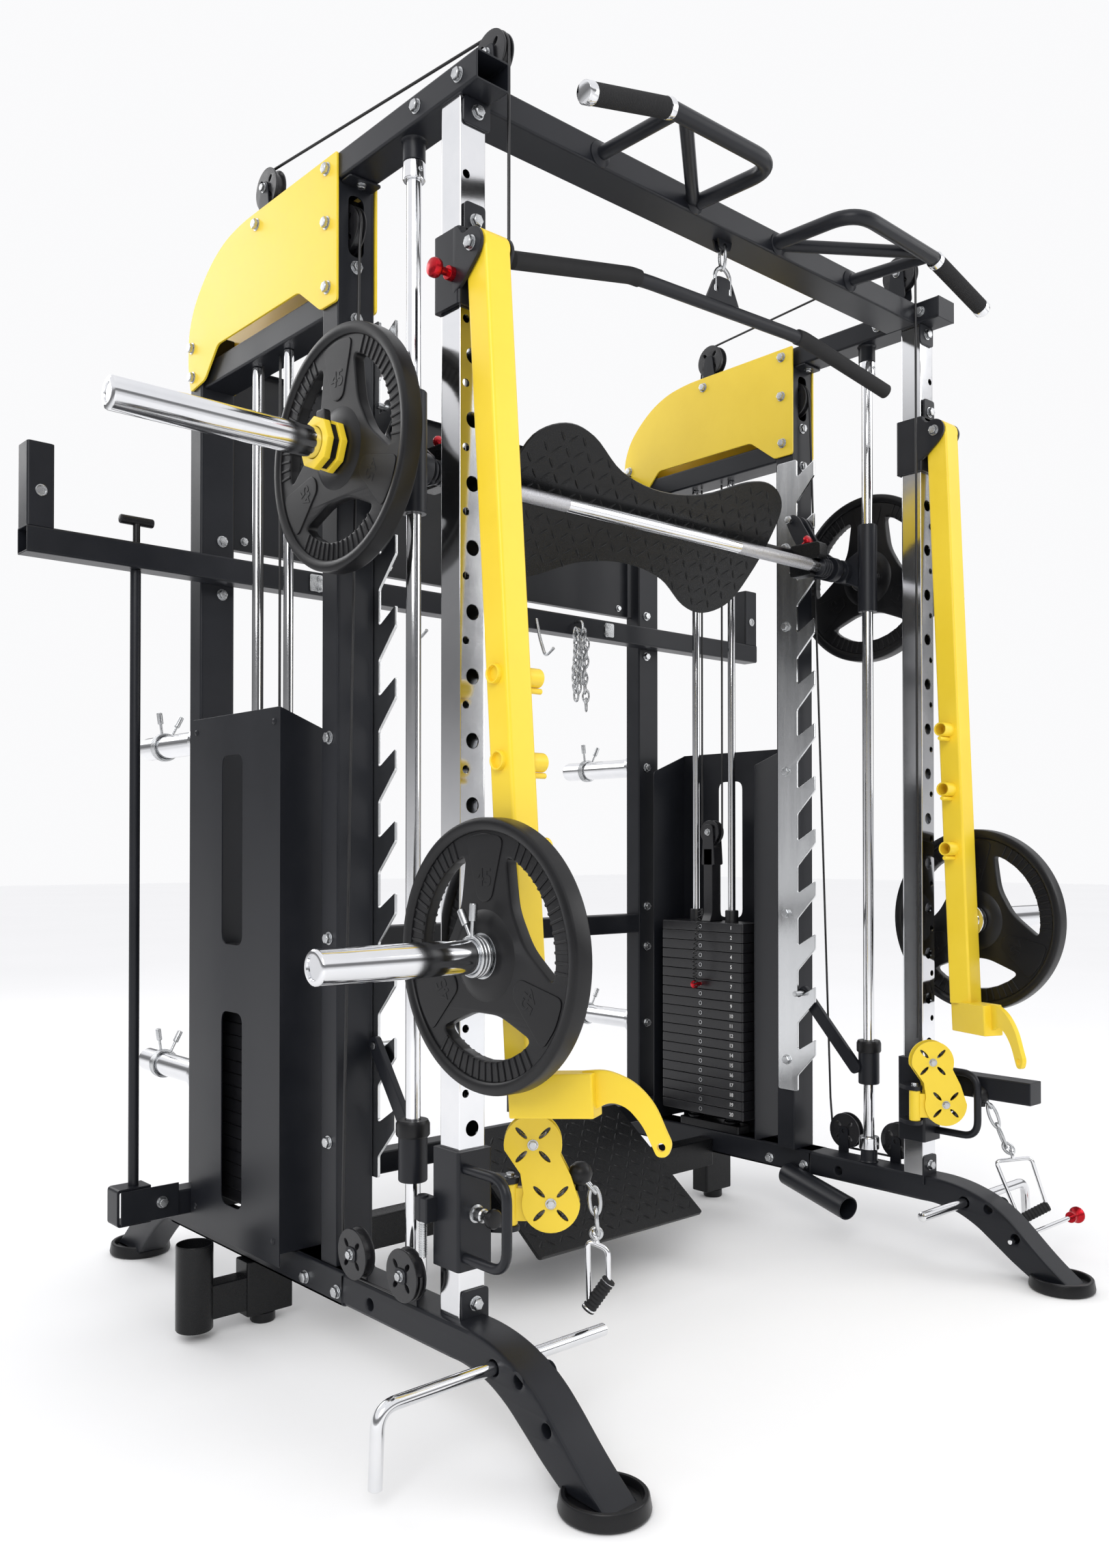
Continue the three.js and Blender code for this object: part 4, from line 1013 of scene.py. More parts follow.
# ---------------------------------------------------------------- weight stacks
def stack_sheet(s, z, pitch):
    """One weight plate with its two guide holes."""
    x = s * STACK_X
    outline = rectangle(x - STACK_HALF, x + STACK_HALF, STACK_FRONT, STACK_BACK, 5, 3)
    holes = [circle(10.7, 18, x, y) for y in STACK_ROD_YS]
    return moved(plate(outline, pitch - 1.2, holes, 1.6), standing(0, 0, z))


def stacks(side, s):
    """The weight plates of one side, those under the pin at rest and those above it lifted."""
    body = f"{side}_stack"
    resting = Shape()
    lifted = Shape()
    numbers = {"frame": Shape(), body: Shape()}
    inner = s * STACK_INNER
    ring = sleeve(5.4, 4, 0, 0.8, 0.2, 18)
    for i in range(STACK_COUNT):
        z = STACK_BOTTOM + STACK_PITCH * i
        middle = z + STACK_PITCH / 2
        lift = i >= STACK_COUNT - STACK_LIFTED
        rider = body if lift else "frame"
        (lifted if lift else resting).merge(stack_sheet(s, z, STACK_PITCH))
        number = lettering(str(STACK_COUNT - i), 13, 0.5)
        way = axes((0, -s, 0), (0, 0, 1), (-s, 0, 0), (inner - s * 0.1, STACK_FRONT + 38, middle - 0.6))
        numbers[rider].merge(number, way)
        collect("pin_rings", ZINC, rider, ring, side_on(-s, -STACK_INNER, BLOCK_Y, middle))
    make(f"{side}_resting_plates", resting, STACK, replaces=[f"{side}_resting_stack"])
    bushing = lathe([(11, 711), (17, 711), (17, 742), (15.5, 744.5), (11, 745)], 28)
    for y in STACK_ROD_YS:
        lifted.merge(bushing, standing(s * STACK_X, y, 0))
    root = fillet([(-26, 714), (26, 714), (17, 735), (17, 905), (-17, 905), (-17, 735)], [2, 2, 12, 4, 4, 12])
    bracket = fillet([(BLOCK_Y - 22, 860), (BLOCK_Y + 22, 860), (BLOCK_Y + 15, 965), (BLOCK_Y - 15, 965)],
                     [6, 6, 12, 12])
    for x in (-17, 13.5):
        lifted.merge(plate(bracket, 3.5, [circle(5, 14, BLOCK_Y, BLOCK_Z)], 0.7),
                     side_on(1, s * STACK_X + x, 0, 0))
    lifted.merge(moved(plate(root, 30, (), 2), front_on(s * STACK_X, BLOCK_Y + 15, 0)))
    lifted.merge(drum(12, 520, 716, 1, 24), standing(s * STACK_X, BLOCK_Y, 0))
    make(f"{side}_lifted_plates", lifted, STACK, body, [f"{side}_lifted_stack"])
    wheel = moved(pulley(31, 22), side_on(1, s * STACK_X, BLOCK_Y, BLOCK_Z))
    make(f"{side}_block_pulley", wheel, PLASTIC, body)
    bolt(body, side_on(s, STACK_X + 17, BLOCK_Y, BLOCK_Z), True)
    bolt(body, side_on(-s, -STACK_X + 17, BLOCK_Y, BLOCK_Z), True)
    for rider, shape in numbers.items():
        make(f"{rider}_{side}_numbers", shape, PRINT, rider)
    pin_z = STACK_SPLIT + STACK_PITCH / 2
    collect("selector", RED, body, knob(10, 30, 5), side_on(-s, -STACK_INNER, BLOCK_Y, pin_z))
    cord = []
    coils, steps = 18, 180
    start = Vector((inner - s * 22, BLOCK_Y - 4, pin_z - 8))
    end = Vector((inner - s * 5, BLOCK_Y - 6, 748))
    for i in range(steps + 1):
        t = i / steps
        swing_out = math.sin(math.pi * t)
        centre = start.lerp(end, t) + Vector((-s * 26 * swing_out, -10 * swing_out, -14 * swing_out))
        a = 2 * math.pi * coils * t
        cord.append(centre + Vector((5 * math.cos(a), 5 * math.sin(a), 0)))
    make(f"{side}_pin_coil", pipe(cord, 1.4, 6), CABLE, body)


# ---------------------------------------------------------------- cables
def arc(x, y, z, radius, start, stop, steps):
    """Points round a pulley whose axle runs across the machine."""
    return [(x, *polar(radius, start + (stop - start) * i / steps, y, z)) for i in range(steps + 1)]


def ladder(a, b, steps):
    """Points at even steps along a straight run."""
    a, b = Vector(a), Vector(b)
    return [tuple(a.lerp(b, i / steps)) for i in range(steps + 1)]


def cables(side, s):
    """The four ropes of one side; two of them are left on no body, with their placement baked in."""
    x = s * STACK_X
    reach = 34
    loop = ladder((x, BLOCK_Y - reach, 1844), (x, BLOCK_Y - reach, BLOCK_Z + 4), 30)
    loop += arc(x, BLOCK_Y, BLOCK_Z, reach, 180, 360, 18)
    loop += ladder((x, BLOCK_Y + reach, BLOCK_Z + 4), (x, BLOCK_Y + reach, 1844), 30)
    rope = make(f"{side}_stack_rope", pipe(loop, 2.6, 12), CABLE, None, replaces=[f"{side}_stack_cable"])
    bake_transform(rope)
    run = arc(s * 692, *BASE_WHEEL_FRONT, 40, 172, 270, 12) + arc(s * 692, *BASE_WHEEL_BACK, 40, 270, 355, 12)
    run += ladder((s * 690, 140, 300), (s * 645, 163, 1960), 6) + arc(s * 641, 205, 1998, 41, 178, 120, 6)
    make(f"{side}_frame_rope", pipe(run, 2.6, 12), CABLE, replaces=[f"{side}_frame_cable"])
    top = arc(s * TROLLEY_ROPE_X, *TOP_FRONT_WHEEL, 38, 180, 95, 12)
    top += arc(s * 645, *TOP_REAR_WHEEL, 38, 88, -20, 12) + [(s * 640, 509, 2119)]
    make(f"{side}_top_rope", pipe(top, 2.6, 12), CABLE, replaces=[f"{side}_top_cable"])
    x, y = s * TROLLEY_ROPE_X, TROLLEY_ROPE_Y
    drop = ladder((x, y, 2176), (x, y, 488), 60)
    line = make(f"{side}_trolley_rope", pipe(drop, 2.6, 12), CABLE, None, replaces=[f"{side}_trolley_cable"])
    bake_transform(line)


# ---------------------------------------------------------------- smith bar
def smith_bar():
    """The bar with its sleeves, hooks, knurling and one yellow plate clamp."""
    bar = moved(drum(14, -690, 690, 1, 40), side_on(1, 0, BAR_Y, BAR_Z))
    grips = Shape()
    collars = Shape()
    for s in (-1, 1):
        place = side_on(s, 0, BAR_Y, BAR_Z)
        bar.merge(lathe([(14, 690), (24.2, 690), (25, 691), (25, 1131), (24, 1134), (20, 1136), (15, 1136),
                         (14, 1134), (0, 1134)], 48), place)
        bar.merge(collar(14, 22, 582, 606, 1, 1.5, 36), place)
        ring = lathe([(14, 706), (32.5, 706), (34, 708), (34, 723.5), (32.5, 725), (14, 725)], 48)
        bar.merge(ring, place)
        grips.merge(lathe([(13.8, 250), (14.25, 251), (14.25, 500), (13.8, 501)], 40), place)
        hook = fillet([(50, 1527), (47, 1574), (84, 1602), (136, 1688), (157, 1699), (173, 1682), (160, 1652),
                       (110, 1566), (92, 1532)], [16, 14, 12, 14, 12, 12, 20, 16, 14])
        for x, thick in ((585, 9), (562, 6)):
            collars.merge(plate(hook, thick, [circle(6, 16, *HOOK_PIN)], 1.5), side_on(s, x))
        collars.merge(drum(9, 556, 598, 1, 28), side_on(s, 0, 100, 1602))
        collect("pins", ZINC, "smith_bar", drum(6, 553, 612, 1, 24), side_on(s, 0, *HOOK_PIN))
        collect("pins", ZINC, "smith_bar", drum(9.5, 548, 556, 1.4, 6), side_on(s, 0, *HOOK_PIN))
        for k in range(4):
            z = 536 + 9 * k
            collars.merge(collar(14.1, 21.5, z, z + 6.5, 1.5, 1.5, 36), place)
        collars.merge(collar(15, 28, 577, 598, 1, 2, 36), place)
    make("bar_shaft", bar, CHROME, "smith_bar", ["smith_bar"])
    make("bar_knurling", grips, KNURL, "smith_bar")
    make("bar_hooks", collars, BLACK, "smith_bar")
    clamp = Shape()
    for x in (761, 786):
        clamp.merge(plate(circle(43, 8), 13, [circle(25.6, 32)], 2.5), side_on(-1, x, BAR_Y, BAR_Z))
    make("plate_clamp", clamp, YELLOW, "smith_bar")
    inlay = plate(circle(38, 8), 12, [circle(27, 32)], 0.8)
    lever = fillet([(-14, 30), (12, 30), (14, 58), (-12, 56)], 6)
    black = moved(inlay, side_on(-1, 774, BAR_Y, BAR_Z))
    black.merge(plate(lever, 12, (), 2), side_on(-1, 774, BAR_Y, BAR_Z))
    make("plate_clamp_inlay", black, RUBBER, "smith_bar")


def carriages(side, s):
    """Slider on the guide rod that carries the bar."""
    at = standing(s * ROD_X, 0, 0)
    shell = moved(collar(13.4, 22, 1453, 1655, 1.5, 2, 44), at)
    hub = collar(14.9, 27, 618, 672, 1.5, 2, 44)
    shell.merge(hub, side_on(s, 0, BAR_Y, BAR_Z))
    web = fillet([(8, 1505), (BAR_Y, 1530), (BAR_Y, 1576), (8, 1601)], 5)
    shell.merge(plate(web, 26, (), 2), side_on(s, 632))
    make(f"{side}_carriage_shell", shell, BLACK, "carriage", [f"{side}_smith_carriage"])
    ends = Shape()
    for z in (1453.2, 1650):
        ends.merge(lathe([(13.3, z), (21, z), (21, z + 4.5), (13.3, z + 4.5)], 40), at)
    make(f"{side}_carriage_seals", ends, RUBBER, "carriage")


def grip_plate(name, s, start, y, z, body, replaced):
    """Rubber plate with three hand windows, a steel hub and raised numerals."""
    windows = []
    for i in range(3):
        corners = [polar(151, -42 + 10.5 * k) for k in range(9)]
        corners += [(98, 66), (84, 30), (84, -30), (98, -66)]
        radii = [16] + [2] * 7 + [16, 12, 20, 20, 12]
        turn = Matrix.Rotation(math.radians(30 + 120 * i), 2)
        windows.append([tuple(turn @ Vector(p)) for p in fillet(corners, radii, 5)])
    place = side_on(s, start, y, z)
    disc = plate(circle(188, 120), 21, windows, 4)
    piece = moved(disc, place @ standing(0, 0, 6.5))
    rim = lathe([(180, 6), (181.5, 3), (185, 0.8), (190, 0), (195, 0.3), (198.5, 2), (200, 5.5), (200, 28.5),
                 (198.5, 32), (195, 33.7), (190, 34), (185, 33.2), (181.5, 31), (180, 28)], 120, True)
    piece.merge(rim, place)
    for level, flip in ((27.5, 1), (6.5, -1)):
        boss = [(33, 0), (33, 6.4), (44, 6.4), (52, 5.6), (60, 3.2), (66, 0.8), (68, -1)]
        piece.merge(lathe([(r, h * flip) for r, h in boss], 64), place @ standing(0, 0, level))
        for i in range(3):
            spin = Matrix.Rotation(math.radians(120 * i), 4, "Z")
            text = lettering("45", 36, 2.4)
            if flip < 0:
                text = moved(text, Matrix.Rotation(math.pi, 4, "Y"))
            piece.merge(text, place @ standing(0, 0, level + 0.8 * flip) @ spin @ mirror(s)
                        @ standing(0, 112, 0))
            rail = [polar(r, a) for a, r in ((76, 176), (90, 178), (104, 176), (101, 84), (90, 76), (79, 84))]
            pad = plate(fillet(rail, 14, 5), 2.4, (), 1)
            piece.merge(pad, place @ standing(0, 0, level - (0.6 if flip > 0 else 1.8)) @ spin)
    for i in range(3):
        for k in range(15):
            a = math.radians(30 + 120 * i - 35 + 5 * k)
            spot = place @ Matrix.Rotation(a, 4, "Z")
            rib = plate(rectangle(152, 180, -2.4, 2.4, 1.8, 3), 24.5, (), 1.4)
            piece.merge(rib, spot @ standing(0, 0, 4.8))
    make(f"{name}_rubber", piece, RUBBER, body, [replaced])
    bush = moved(sleeve(33.5, 25.4, -0.2, 34.2, 0.8, 56), place)
    make(f"{name}_bush", bush, ZINC, body)


def press_plate():
    """Tread plate on a tube behind the bar, held by two jaws."""
    quarter = [(378, 40), (360, 120), (300, 158), (225, 150), (120, 100)]
    upper = [(-x, y) for x, y in quarter] + [(0, 82)] + quarter[::-1]
    corners = upper + [(-x, -y) for x, y in upper]
    outline = smooth(corners + corners[:1], 5)[:-1]
    tilt = standing(0, 106, 1562) @ Matrix.Rotation(math.radians(129), 4, "X")
    sheet = moved(plate(outline, 6, (), 1), tilt)

    def on_plate(x, y):
        width = abs(x)
        room = 66 + 74 * min(max((width - 40) / 190, 0), 1)
        return width < 355 and abs(y) < (room if width < 300 else 146 - (width - 300) * 1.1)

    tread(sheet, 378, 158, on_plate, tilt @ standing(0, 0, 6), 1.3)
    sheet.merge(cross_tube(30, 30, 545, 133, 1585, 3, 4))
    for s in (-1, 1):
        jaw = fillet([(40, 1568), (40, 1606), (122, 1608), (125, 1570), (125, 1533), (66, 1533), (66, 1538),
                      (75, 1546), (75, 1560), (66, 1567.8)], [10, 10, 6, 2, 10, 4, 2, 8, 8, 4], 4)
        sheet.merge(plate(jaw, 30, (), 1.5), side_on(s, 515))
        sheet.merge(block(s * 80, s * 140, 97, 125, 1566, 1590, 1.5))
        for z in (1548, 1592):
            bolt("press_plate", back_on(s * 530, 125, z), True)
        raised = axes((1, 0, 0), (0, 0.5, 0.866), (0, -0.866, 0.5), (s * 530, 100, 1606))
        collect("knobs", RED, "press_plate", knob(13, 26, 5), raised)
    make("press_plate_tread", sheet, TREAD, "press_plate", ["press_plate"])


def safety_stops(side, s):
    """Adjustable stop under the carriage, with its arm and pin."""
    body = f"{side}_safety_stop"
    at = standing(s * ROD_X, 0, 0)
    shell = moved(collar(13.4, 24, 358, 432, 1.5, 2, 44), at)
    low, high = Vector((s * 622, 18, 392)), Vector((s * 612, *STOP_PIN))
    span = (high - low).length
    flat = fillet([(-15, -8), (15, -8), (15, span + 15), (-15, span + 15)], 13, 6)
    along = (high - low).normalized()
    across = Vector((0, -along.z, along.y)).normalized()
    shell.merge(plate(flat, 12, [circle(7, 20, 0, span)], 2),
                axes(across, along, across.cross(along), low - across.cross(along) * 6))
    make(f"{side}_stop_collar", shell, BLACK, body, [f"{side}_safety_stop"])
    cap = moved(lathe([(13.4, 431), (26, 431), (28, 434), (28, 452), (25, 458), (13.4, 458)], 44), at)
    make(f"{side}_stop_buffer", cap, RUBBER, body)
    collect("pins", ZINC, body, drum(6.5, 572, 620, 0.8, 24), side_on(s, 0, *STOP_PIN))


# ---------------------------------------------------------------- lever arms
def lever_brackets(side, s):
    """Sleeve on the upright that the lever arm turns in."""
    body = f"{side}_lever_bracket"
    shape = Shape()
    outer = rectangle(612, 678, -164, -99, 6, 5)
    inner = rectangle(619.4, 670.6, -157.6, -106.4, 4, 4)
    shape.merge(plate(outer, 120, [inner], 0.8), mirror(s) @ standing(0, 0, 1742))
    ear = fillet([(-150, 1758), (-172, 1768), (-212, 1802), (-221, 1822), (-212, 1842), (-195, 1849),
                  (-174, 1842), (-160, 1862), (-150, 1862)], [4, 10, 16, 16, 16, 16, 12, 4, 2], 6)
    for x in (672.3, 611.7):
        shape.merge(plate(ear, 6, [circle(6, 16, PIVOT_Y, PIVOT_Z)], 0.8), side_on(s, x))
    tongue = plate(rectangle(-20, 20, 1855, 1905, 7), 5, [circle(6, 16, 0, 1876.7)], 0.8)
    shape.merge(tongue, front_on(s * 645, -159, 0))
    make(f"{side}_bracket_shell", shape, BLACK, body, [f"{side}_lever_bracket"])
    bolt(body, front_on(s * 645, -164, 1876.7))
    bolt(body, side_on(s, 678.3, PIVOT_Y, PIVOT_Z))
    bolt(body, side_on(-s, -611.7, PIVOT_Y, PIVOT_Z))
    boss = side_on(s, 678, -148, 1790)
    collect("knobs", RED, body, merged(drum(11, 0, 10, 1, 28), moved(knob(15, 34), standing(0, 0, 8))), boss)


def lever_arms(side, s):
    """Yellow lever arm with its curved end, sockets and plate horn."""
    body = f"{side}_lever_arm"
    lean = turned(-LEAN[side], "X", (0, PIVOT_Y, PIVOT_Z))
    tube = square_tube(50, 50, PIVOT_Z + 9 - LEVER_BOTTOM, 3.5, 6)
    arm = moved(tube, standing(s * 645, PIVOT_Y, LEVER_BOTTOM))
    barrel = drum(25, 620.4, 669.6, 2, 36)
    arm.merge(barrel, side_on(s, 0, PIVOT_Y, PIVOT_Z))
    turn = Matrix.Translation((s * 645, PIVOT_Y, 0)) @ Matrix.Rotation(math.radians(-s * 29), 4, "Z")
    b = LEVER_BOTTOM
    arm.merge(block(-22, 22, -105, 25, b - 62, b + 2, 2, 4), turn)
    tusk = fillet([(-95, b - 55), (-85, b + 4), (-120, b + 6), (-160, b - 10), (-190, b - 42), (-206, b - 84),
                   (-213, b - 100), (-205, b - 118), (-190, b - 118), (-184, b - 104), (-172, b - 74),
                   (-150, b - 48), (-125, b - 40)], [2, 2, 20, 20, 20, 20, 8, 8, 6, 10, 14, 14, 14], 5)
    blade = plate(tusk, 10, [circle(6, 18, -197, b - 104)], 1.2)
    arm.merge(blade, turn @ side_on(1, -5, 0, 0))
    long_end = [(0, 618), (12, 618), (12, 587), (13, 586), (14.6, 586), (15, 587), (15, 621), (0, 621)]
    short_end = [(0, 669), (15, 669), (15, 677), (14.6, 678), (13, 678), (12, 677), (12, 670.5), (0, 670.5)]
    for drop in SOCKET_DROPS:
        spot = side_on(s, 0, PIVOT_Y, PIVOT_Z - drop)
        for socket in (long_end, short_end):
            arm.merge(lathe(socket, 36), spot)
        arm.merge(drum(4.5, 582, 622, 1, 20), side_on(s, 0, PIVOT_Y, PIVOT_Z - drop - 20))
    make(f"{side}_arm_tube", moved(arm, lean), YELLOW, body, [f"{side}_lever_arm"])
    horn = lathe([(0, 668), (25, 668), (25, 995), (24, 998), (21, 1000), (17, 1000), (16, 997), (0, 997)], 44)
    spot = side_on(s, 0, PIVOT_Y, PIVOT_Z - HORN_DROP)
    metal = moved(horn, spot)
    metal.merge(lathe([(24, 670), (35, 670), (36, 671), (36, 681), (35, 683), (24, 683)], 44), spot)
    make(f"{side}_arm_horn", moved(metal, lean), CHROME, body)
    collect("clips", ZINC, body, spring_clip(25), lean @ spot @ standing(0, 0, 728))


# ---------------------------------------------------------------- trolleys and swivel heads
def trolleys(side, s):
    """Sleeve on the upright that carries the swivel head."""
    body = f"{side}_trolley"
    outer = rectangle(611.5, 678.5, -165.5, -98.5, 6, 5)
    inner = rectangle(619.4, 670.6, -157.6, -106.4, 4, 4)
    shape = moved(plate(outer, 183, [inner], 0.8), mirror(s) @ standing(0, 0, 254))
    tab = fillet([(562, -179), (588, -179), (613, -148), (613, -125), (575, -125), (562, -150)],
                 [12, 12, 6, 2, 6, 6], 5)
    for z in (300, 375):
        shape.merge(plate(tab, 9, [circle(5, 16, SWIVEL_X, SWIVEL_Y)], 1), mirror(s) @ standing(0, 0, z))
    shape.merge(block(s * 676, s * 700, -112, -80, 322, 360, 2))
    shape.merge(drum(9, 322, 363, 1.5, 24), standing(s * 692, -93, 0))
    if s > 0:
        shape.merge(moved(square_tube(48, 49, 263, 3.5, 5), front_on(704, -112, 380.5)))
        shape.merge(block(677, 684, -164, -100, 350, 411, 1))
        shape.merge(block(680.5, 727.5, -376.5, -373, 356.5, 404.5, 1.2, 4))
    make(f"{side}_trolley_shell", shape, BLACK, body, [f"{side}_trolley"])
    handle = [(s * 664, y, z) for y, z in ((-164, 411), (-264, 411), (-264, 275), (-164, 275))]
    make(f"{side}_trolley_handle", pipe(bend(handle, 36, 8), 8, 20), BLACK, body)
    barrel = lathe([(0, 0), (14, 0), (14, 3), (11, 4), (11, 20), (9, 22), (9, 24), (0, 24)], 28)
    collect("pins", ZINC, body, barrel, front_on(s * 645, -165.5, 340))
    collect("pull_knob", RUBBER, body, knob(15, 28, 6), front_on(s * 645, -187, 340))
    stud = drum(6, 266, 324, 1, 20)
    for i in range(14):
        stud.merge(link_ring(6, 0.8, 20), standing(0, 0, 270 + 3.6 * i))
    collect("pins", ZINC, body, stud, standing(s * 692, -93, 0))
    bolt(body, standing(s * SWIVEL_X, SWIVEL_Y, 384), True)


def swivel_heads(side, s):
    """Yellow cheeks with two pulleys, turning on the trolley."""
    body = f"{side}_swivel_head"
    turn = Matrix.Translation((s * SWIVEL_X, SWIVEL_Y, 0)) @ Matrix.Rotation(math.radians(-41.8), 4, "Z")
    lobes = ((36, 437), (64, 345))
    upper, lower = lobes
    outline = [polar(46, a, *upper) for a in range(-20, 200, 10)] + [(16, 392)]
    outline += [polar(46, a, *lower) for a in range(160, 370, 10)] + [(96, 388)]
    holes = [ellipse(12.5, 3.7, a, *polar(26, a, *lobe), 16) for lobe in lobes for a in CROSS]
    skin = Shape()
    cheek = plate(outline, 4, holes, 0.9)
    for y in (-10, 14):
        skin.merge(cheek, turn @ front_on(0, y, 0))
    skin.merge(collar(5, 12, 309.3, 374.7, 1, 1.7, 28), turn)
    skin.merge(block(5, 34, -8, 8, 316, 368, 1.5), turn)
    make(f"{side}_swivel_cheeks", skin, YELLOW, body, [f"{side}_swivel_head"])
    wheels = Shape()
    for x, z in lobes:
        wheels.merge(pulley(40, 18), turn @ front_on(x, 0, z))
        bolt(body, turn @ front_on(x, -14, z), True)
        collect("bolts", ZINC, body, drum(8, 0, 2.2, 0.8, 24), turn @ back_on(x, 13.5, z))
    make(f"{side}_swivel_pulleys", wheels, PLASTIC, body)


def hanging_handle(side, ball, snap, apex, low, grip_a, grip_b, top):
    """Cable ball, snap hooks in a chain, and a grip in its strap, hanging from a swivel head."""
    body = f"{side}_swivel_head"
    stop = lathe([(0, -19.5), (9, -17), (16, -11), (19.5, 0), (16, 11), (9, 17), (0, 19.5)], 32)
    stop.merge(lathe([(0, -26), (8, -26), (8, -16), (0, -16)], 20))
    make(f"{side}_cable_ball", moved(stop, standing(*ball)), RUBBER, body)
    first, last = Vector(snap[0]), Vector(snap[1])
    stops = [Vector(ball), first, first.lerp(last, 0.5), last, Vector(apex)]
    metal = Shape()
    for i, (a, b) in enumerate(zip(stops, stops[1:])):
        half = (b - a).length / 2 + 5
        loop = [(8.5 * math.sin(t), 0, half - 5 - half * math.cos(t)) for t in
                [2 * math.pi * k / 36 for k in range(37)]]
        metal.merge(pipe(loop, 3.3, 12), between(a, b) @ Matrix.Rotation(math.radians(90 * (i % 2)), 4, "Z"))
    make(f"{side}_snap_hook", metal, ZINC, body)
    strap = pipe(bend([grip_a, low, top, grip_b], 12, 8), 4.4, 16)
    crown = (Vector(low) + Vector(top)) / 2
    strap.merge(bar_between(crown, apex, 4, 16))
    strap.merge(link_ring(8, 3, 24), between(apex, crown) @ Matrix.Rotation(math.pi / 2, 4, "X"))
    for start, end in ((grip_a, grip_b), (grip_b, grip_a)):
        strap.merge(link_ring(8, 3.4, 24), between(start, end))
    make(f"{side}_handle_strap", strap, CHROME, body)
    length = (Vector(grip_b) - Vector(grip_a)).length
    profile = [(0, -4), (8, -4)]
    for i in range(10):
        z = -4 + (length + 8) * i / 10
        profile += [(10.5, z + 0.6), (11.6, z + 2), (11.6, z + 3), (10.5, z + (length + 8) / 10 - 0.6)]
    profile += [(8, length + 4), (0, length + 4)]
    make(f"{side}_handle_grip", moved(lathe(profile, 28), between(grip_a, grip_b)), GRIP, body)


# ---------------------------------------------------------------- lat bar
def lat_bar():
    """Bent bar hanging from the pull-up beam by a snap hook."""
    spin = standing(0, -112, 0) @ Matrix.Rotation(math.radians(-4), 4, "Z")
    path = bend([(-499, 0, 1893), (-235, 0, 1941), (235, 0, 1941), (499, 0, 1893)], 60, 10)
    make("lat_bar_tube", moved(pipe(path, 12.5, 28, 2), spin), BLACK, "lat_bar", ["lat_bar"])
    rubber = Shape()
    for s in (-1, 1):
        a, b = Vector((s * 215, 0, 1941)), Vector((s * 499, 0, 1893))
        route = bend([a, (s * 235, 0, 1941), b], 40, 6)
        rubber.merge(pipe(route, 15.2, 28, 4), spin)
    make("lat_bar_grips", rubber, GRIP, "lat_bar")
    ear = plate(fillet([(-48, 1944), (48, 1944), (20, 2002), (-20, 2002)], [4, 4, 14, 14]), 7,
                [circle(7, 18, -20, 1976), circle(7, 18, 20, 1976)], 1)
    make("lat_bar_ear", moved(ear, spin @ front_on(0, 3.5, 0)), BLACK, "lat_bar")
    hook = bend([(-20, 0, 1972), (-20, 0, 2010), (0, 0, 2024), (20, 0, 2010), (20, 0, 1972)], 16, 8)
    metal = pipe(hook, 4, 14, 2)
    turns = [2 * math.pi * k / 32 for k in range(33)]
    ring = [(8 * math.sin(t), 0, 2041 - 24 * math.cos(t)) for t in turns]
    metal.merge(pipe(ring, 3.6, 12), Matrix.Rotation(math.pi / 2, 4, "Z"))
    make("lat_bar_hook", moved(metal, spin), ZINC, "lat_bar")


for side, s in SIDES:
    stacks(side, s)
    cables(side, s)
    carriages(side, s)
    grip_plate(f"{side}_bar_plate", s, 725.3, BAR_Y, BAR_Z, f"{side}_bar_plate", f"{side}_bar_plate")
    angle = math.radians(LEAN[side])
    horn_y = PIVOT_Y - HORN_DROP * math.sin(angle)
    horn_z = PIVOT_Z - HORN_DROP * math.cos(angle)
    grip_plate(f"{side}_lever_plate", s, 688, horn_y, horn_z, f"{side}_lever_plate", f"{side}_lever_plate")
    safety_stops(side, s)
    lever_brackets(side, s)
    lever_arms(side, s)
    trolleys(side, s)
    swivel_heads(side, s)
smith_bar()
press_plate()
lat_bar()
hanging_handle("left", (-492.4, -238.9, 389.3), ((-476.8, -253, 363), (-472.1, -257.1, 297)),
               (-475.8, -253.8, 293.2), (-484, -246.5, 284), (-483, -247.5, 177), (-460, -267.9, 219.4),
               (-460.1, -267.9, 270))
hanging_handle("right", (683.7, -262.4, 365.6), ((696.4, -273.7, 340), (721.8, -296.4, 254.7)),
               (731.9, -305.5, 241.1), (706, -282.5, 220), (744.4, -316.7, 91.1), (789, -356.6, 121.9),
               (763.8, -334, 227.5))


# ---------------------------------------------------------------- collected hardware
for key, (shape, look, body) in sorted(collected.items()):
    make(key, shape, look, body)


# ---------------------------------------------------------------- floor, light and camera
def floor():
    """Pale floor, which isn't part of the object."""
    mesh = bpy.data.meshes.new("floor")
    reach = 30
    corners = [(-reach, -reach, 0), (reach, -reach, 0), (reach, reach, 0), (-reach, reach, 0)]
    mesh.from_pydata(corners, [], [(0, 1, 2, 3)])
    plane = bpy.data.objects.new("floor", mesh)
    bpy.context.scene.collection.objects.link(plane)
    pale, _ = new_material("pale_floor", "floor", (0.95, 0.95, 0.95), 0.85, other=(0.97, 0.97, 0.97),
                           patches=0.5, grain=40, bump=0.02)
    mesh.materials.append(pale)


def soft_light(name, place, target, size, power):
    light = bpy.data.lights.new(name, "AREA")
    light.shape = "RECTANGLE"
    light.size, light.size_y = size
    light.energy = power
    holder = bpy.data.objects.new(name, light)
    holder.location = place
    holder.rotation_euler = (Vector(target) - Vector(place)).to_track_quat("-Z", "Y").to_euler()
    bpy.context.scene.collection.objects.link(holder)


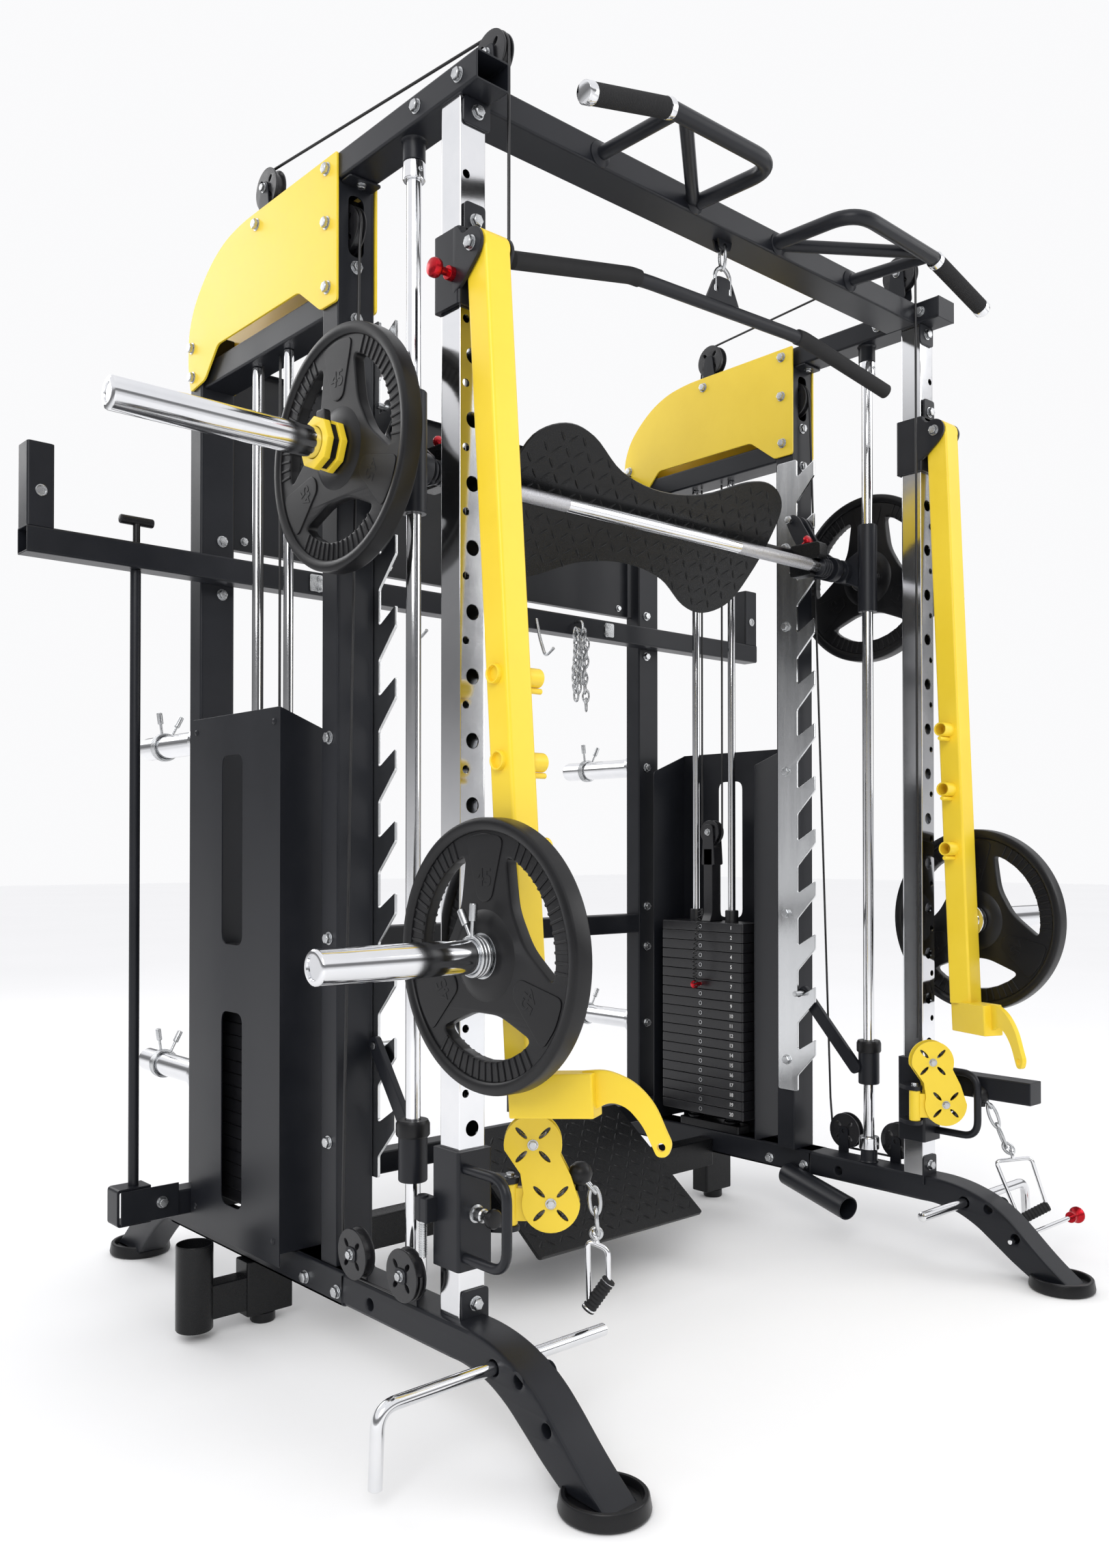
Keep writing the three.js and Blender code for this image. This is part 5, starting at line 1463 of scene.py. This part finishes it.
def studio():
    """World and three soft lamps."""
    world = bpy.data.worlds.new("studio")
    bpy.context.scene.world = world
    world.use_nodes = True
    tree = world.node_tree
    lit = tree.nodes["Background"]
    where = node(tree, "TexCoord")
    split = node(tree, "SeparateXYZ")
    wire(tree, where, "Generated", split, "Vector")
    ramp = node(tree, "ValToRGB")
    stops = ((0.0, 0.35), (0.5, 0.62), (0.56, 0.2), (0.64, 0.28), (0.68, 1.05), (0.9, 1.0), (1.0, 1.1))
    lift = node(tree, "MapRange", From_Min=-1)
    wire(tree, split, "Z", lift, "Value")
    while len(ramp.color_ramp.elements) < len(stops):
        ramp.color_ramp.elements.new(0.5)
    for element, (position, level) in zip(ramp.color_ramp.elements, stops):
        element.position = position
        element.color = (level, level, level * 1.02, 1)
    wire(tree, lift, "Result", ramp, "Fac")
    wire(tree, ramp, "Color", lit, "Color")
    # The camera sees a plain pale background, and reflections see the banded one.
    plain = node(tree, "Background", Color=(0.96, 0.96, 0.97, 1))
    seen = node(tree, "LightPath")
    choice = node(tree, "MixShader")
    wire(tree, seen, "Is Camera Ray", choice, "Fac")
    wire(tree, lit, "Background", choice, 1)
    wire(tree, plain, "Background", choice, 2)
    wire(tree, choice, "Shader", tree.nodes["World Output"], "Surface")
    bpy.context.scene.view_settings.view_transform = "Standard"
    soft_light("key", (-3.6, -3.2, 3.4), (0, 0, 1.0), (2.6, 2.6), 90)
    soft_light("fill", (3.4, -3.6, 2.6), (0, 0, 1.0), (2.2, 2.8), 45)
    soft_light("back", (-1.5, 4.5, 3.6), (0, 0, 1.2), (3.0, 2.0), 50)


def photo_camera():
    """Camera fitted to the photo."""
    camera = bpy.data.cameras.new("camera")
    camera.lens = 29.03
    camera.sensor_width = 36
    camera.sensor_fit = "AUTO"
    camera.shift_x = 0.0009
    camera.shift_y = 0.0322
    camera.clip_end = 100
    holder = bpy.data.objects.new("camera", camera)
    holder.location = (-1.8582, -1.9921, 0.9007)
    pitch = math.radians(0.6675)
    aim = Vector((0.6663 * math.cos(pitch), 0.7457 * math.cos(pitch), math.sin(pitch)))
    holder.rotation_euler = aim.to_track_quat("-Z", "Y").to_euler()
    bpy.context.scene.collection.objects.link(holder)
    bpy.context.scene.camera = holder


floor()
studio()
photo_camera()
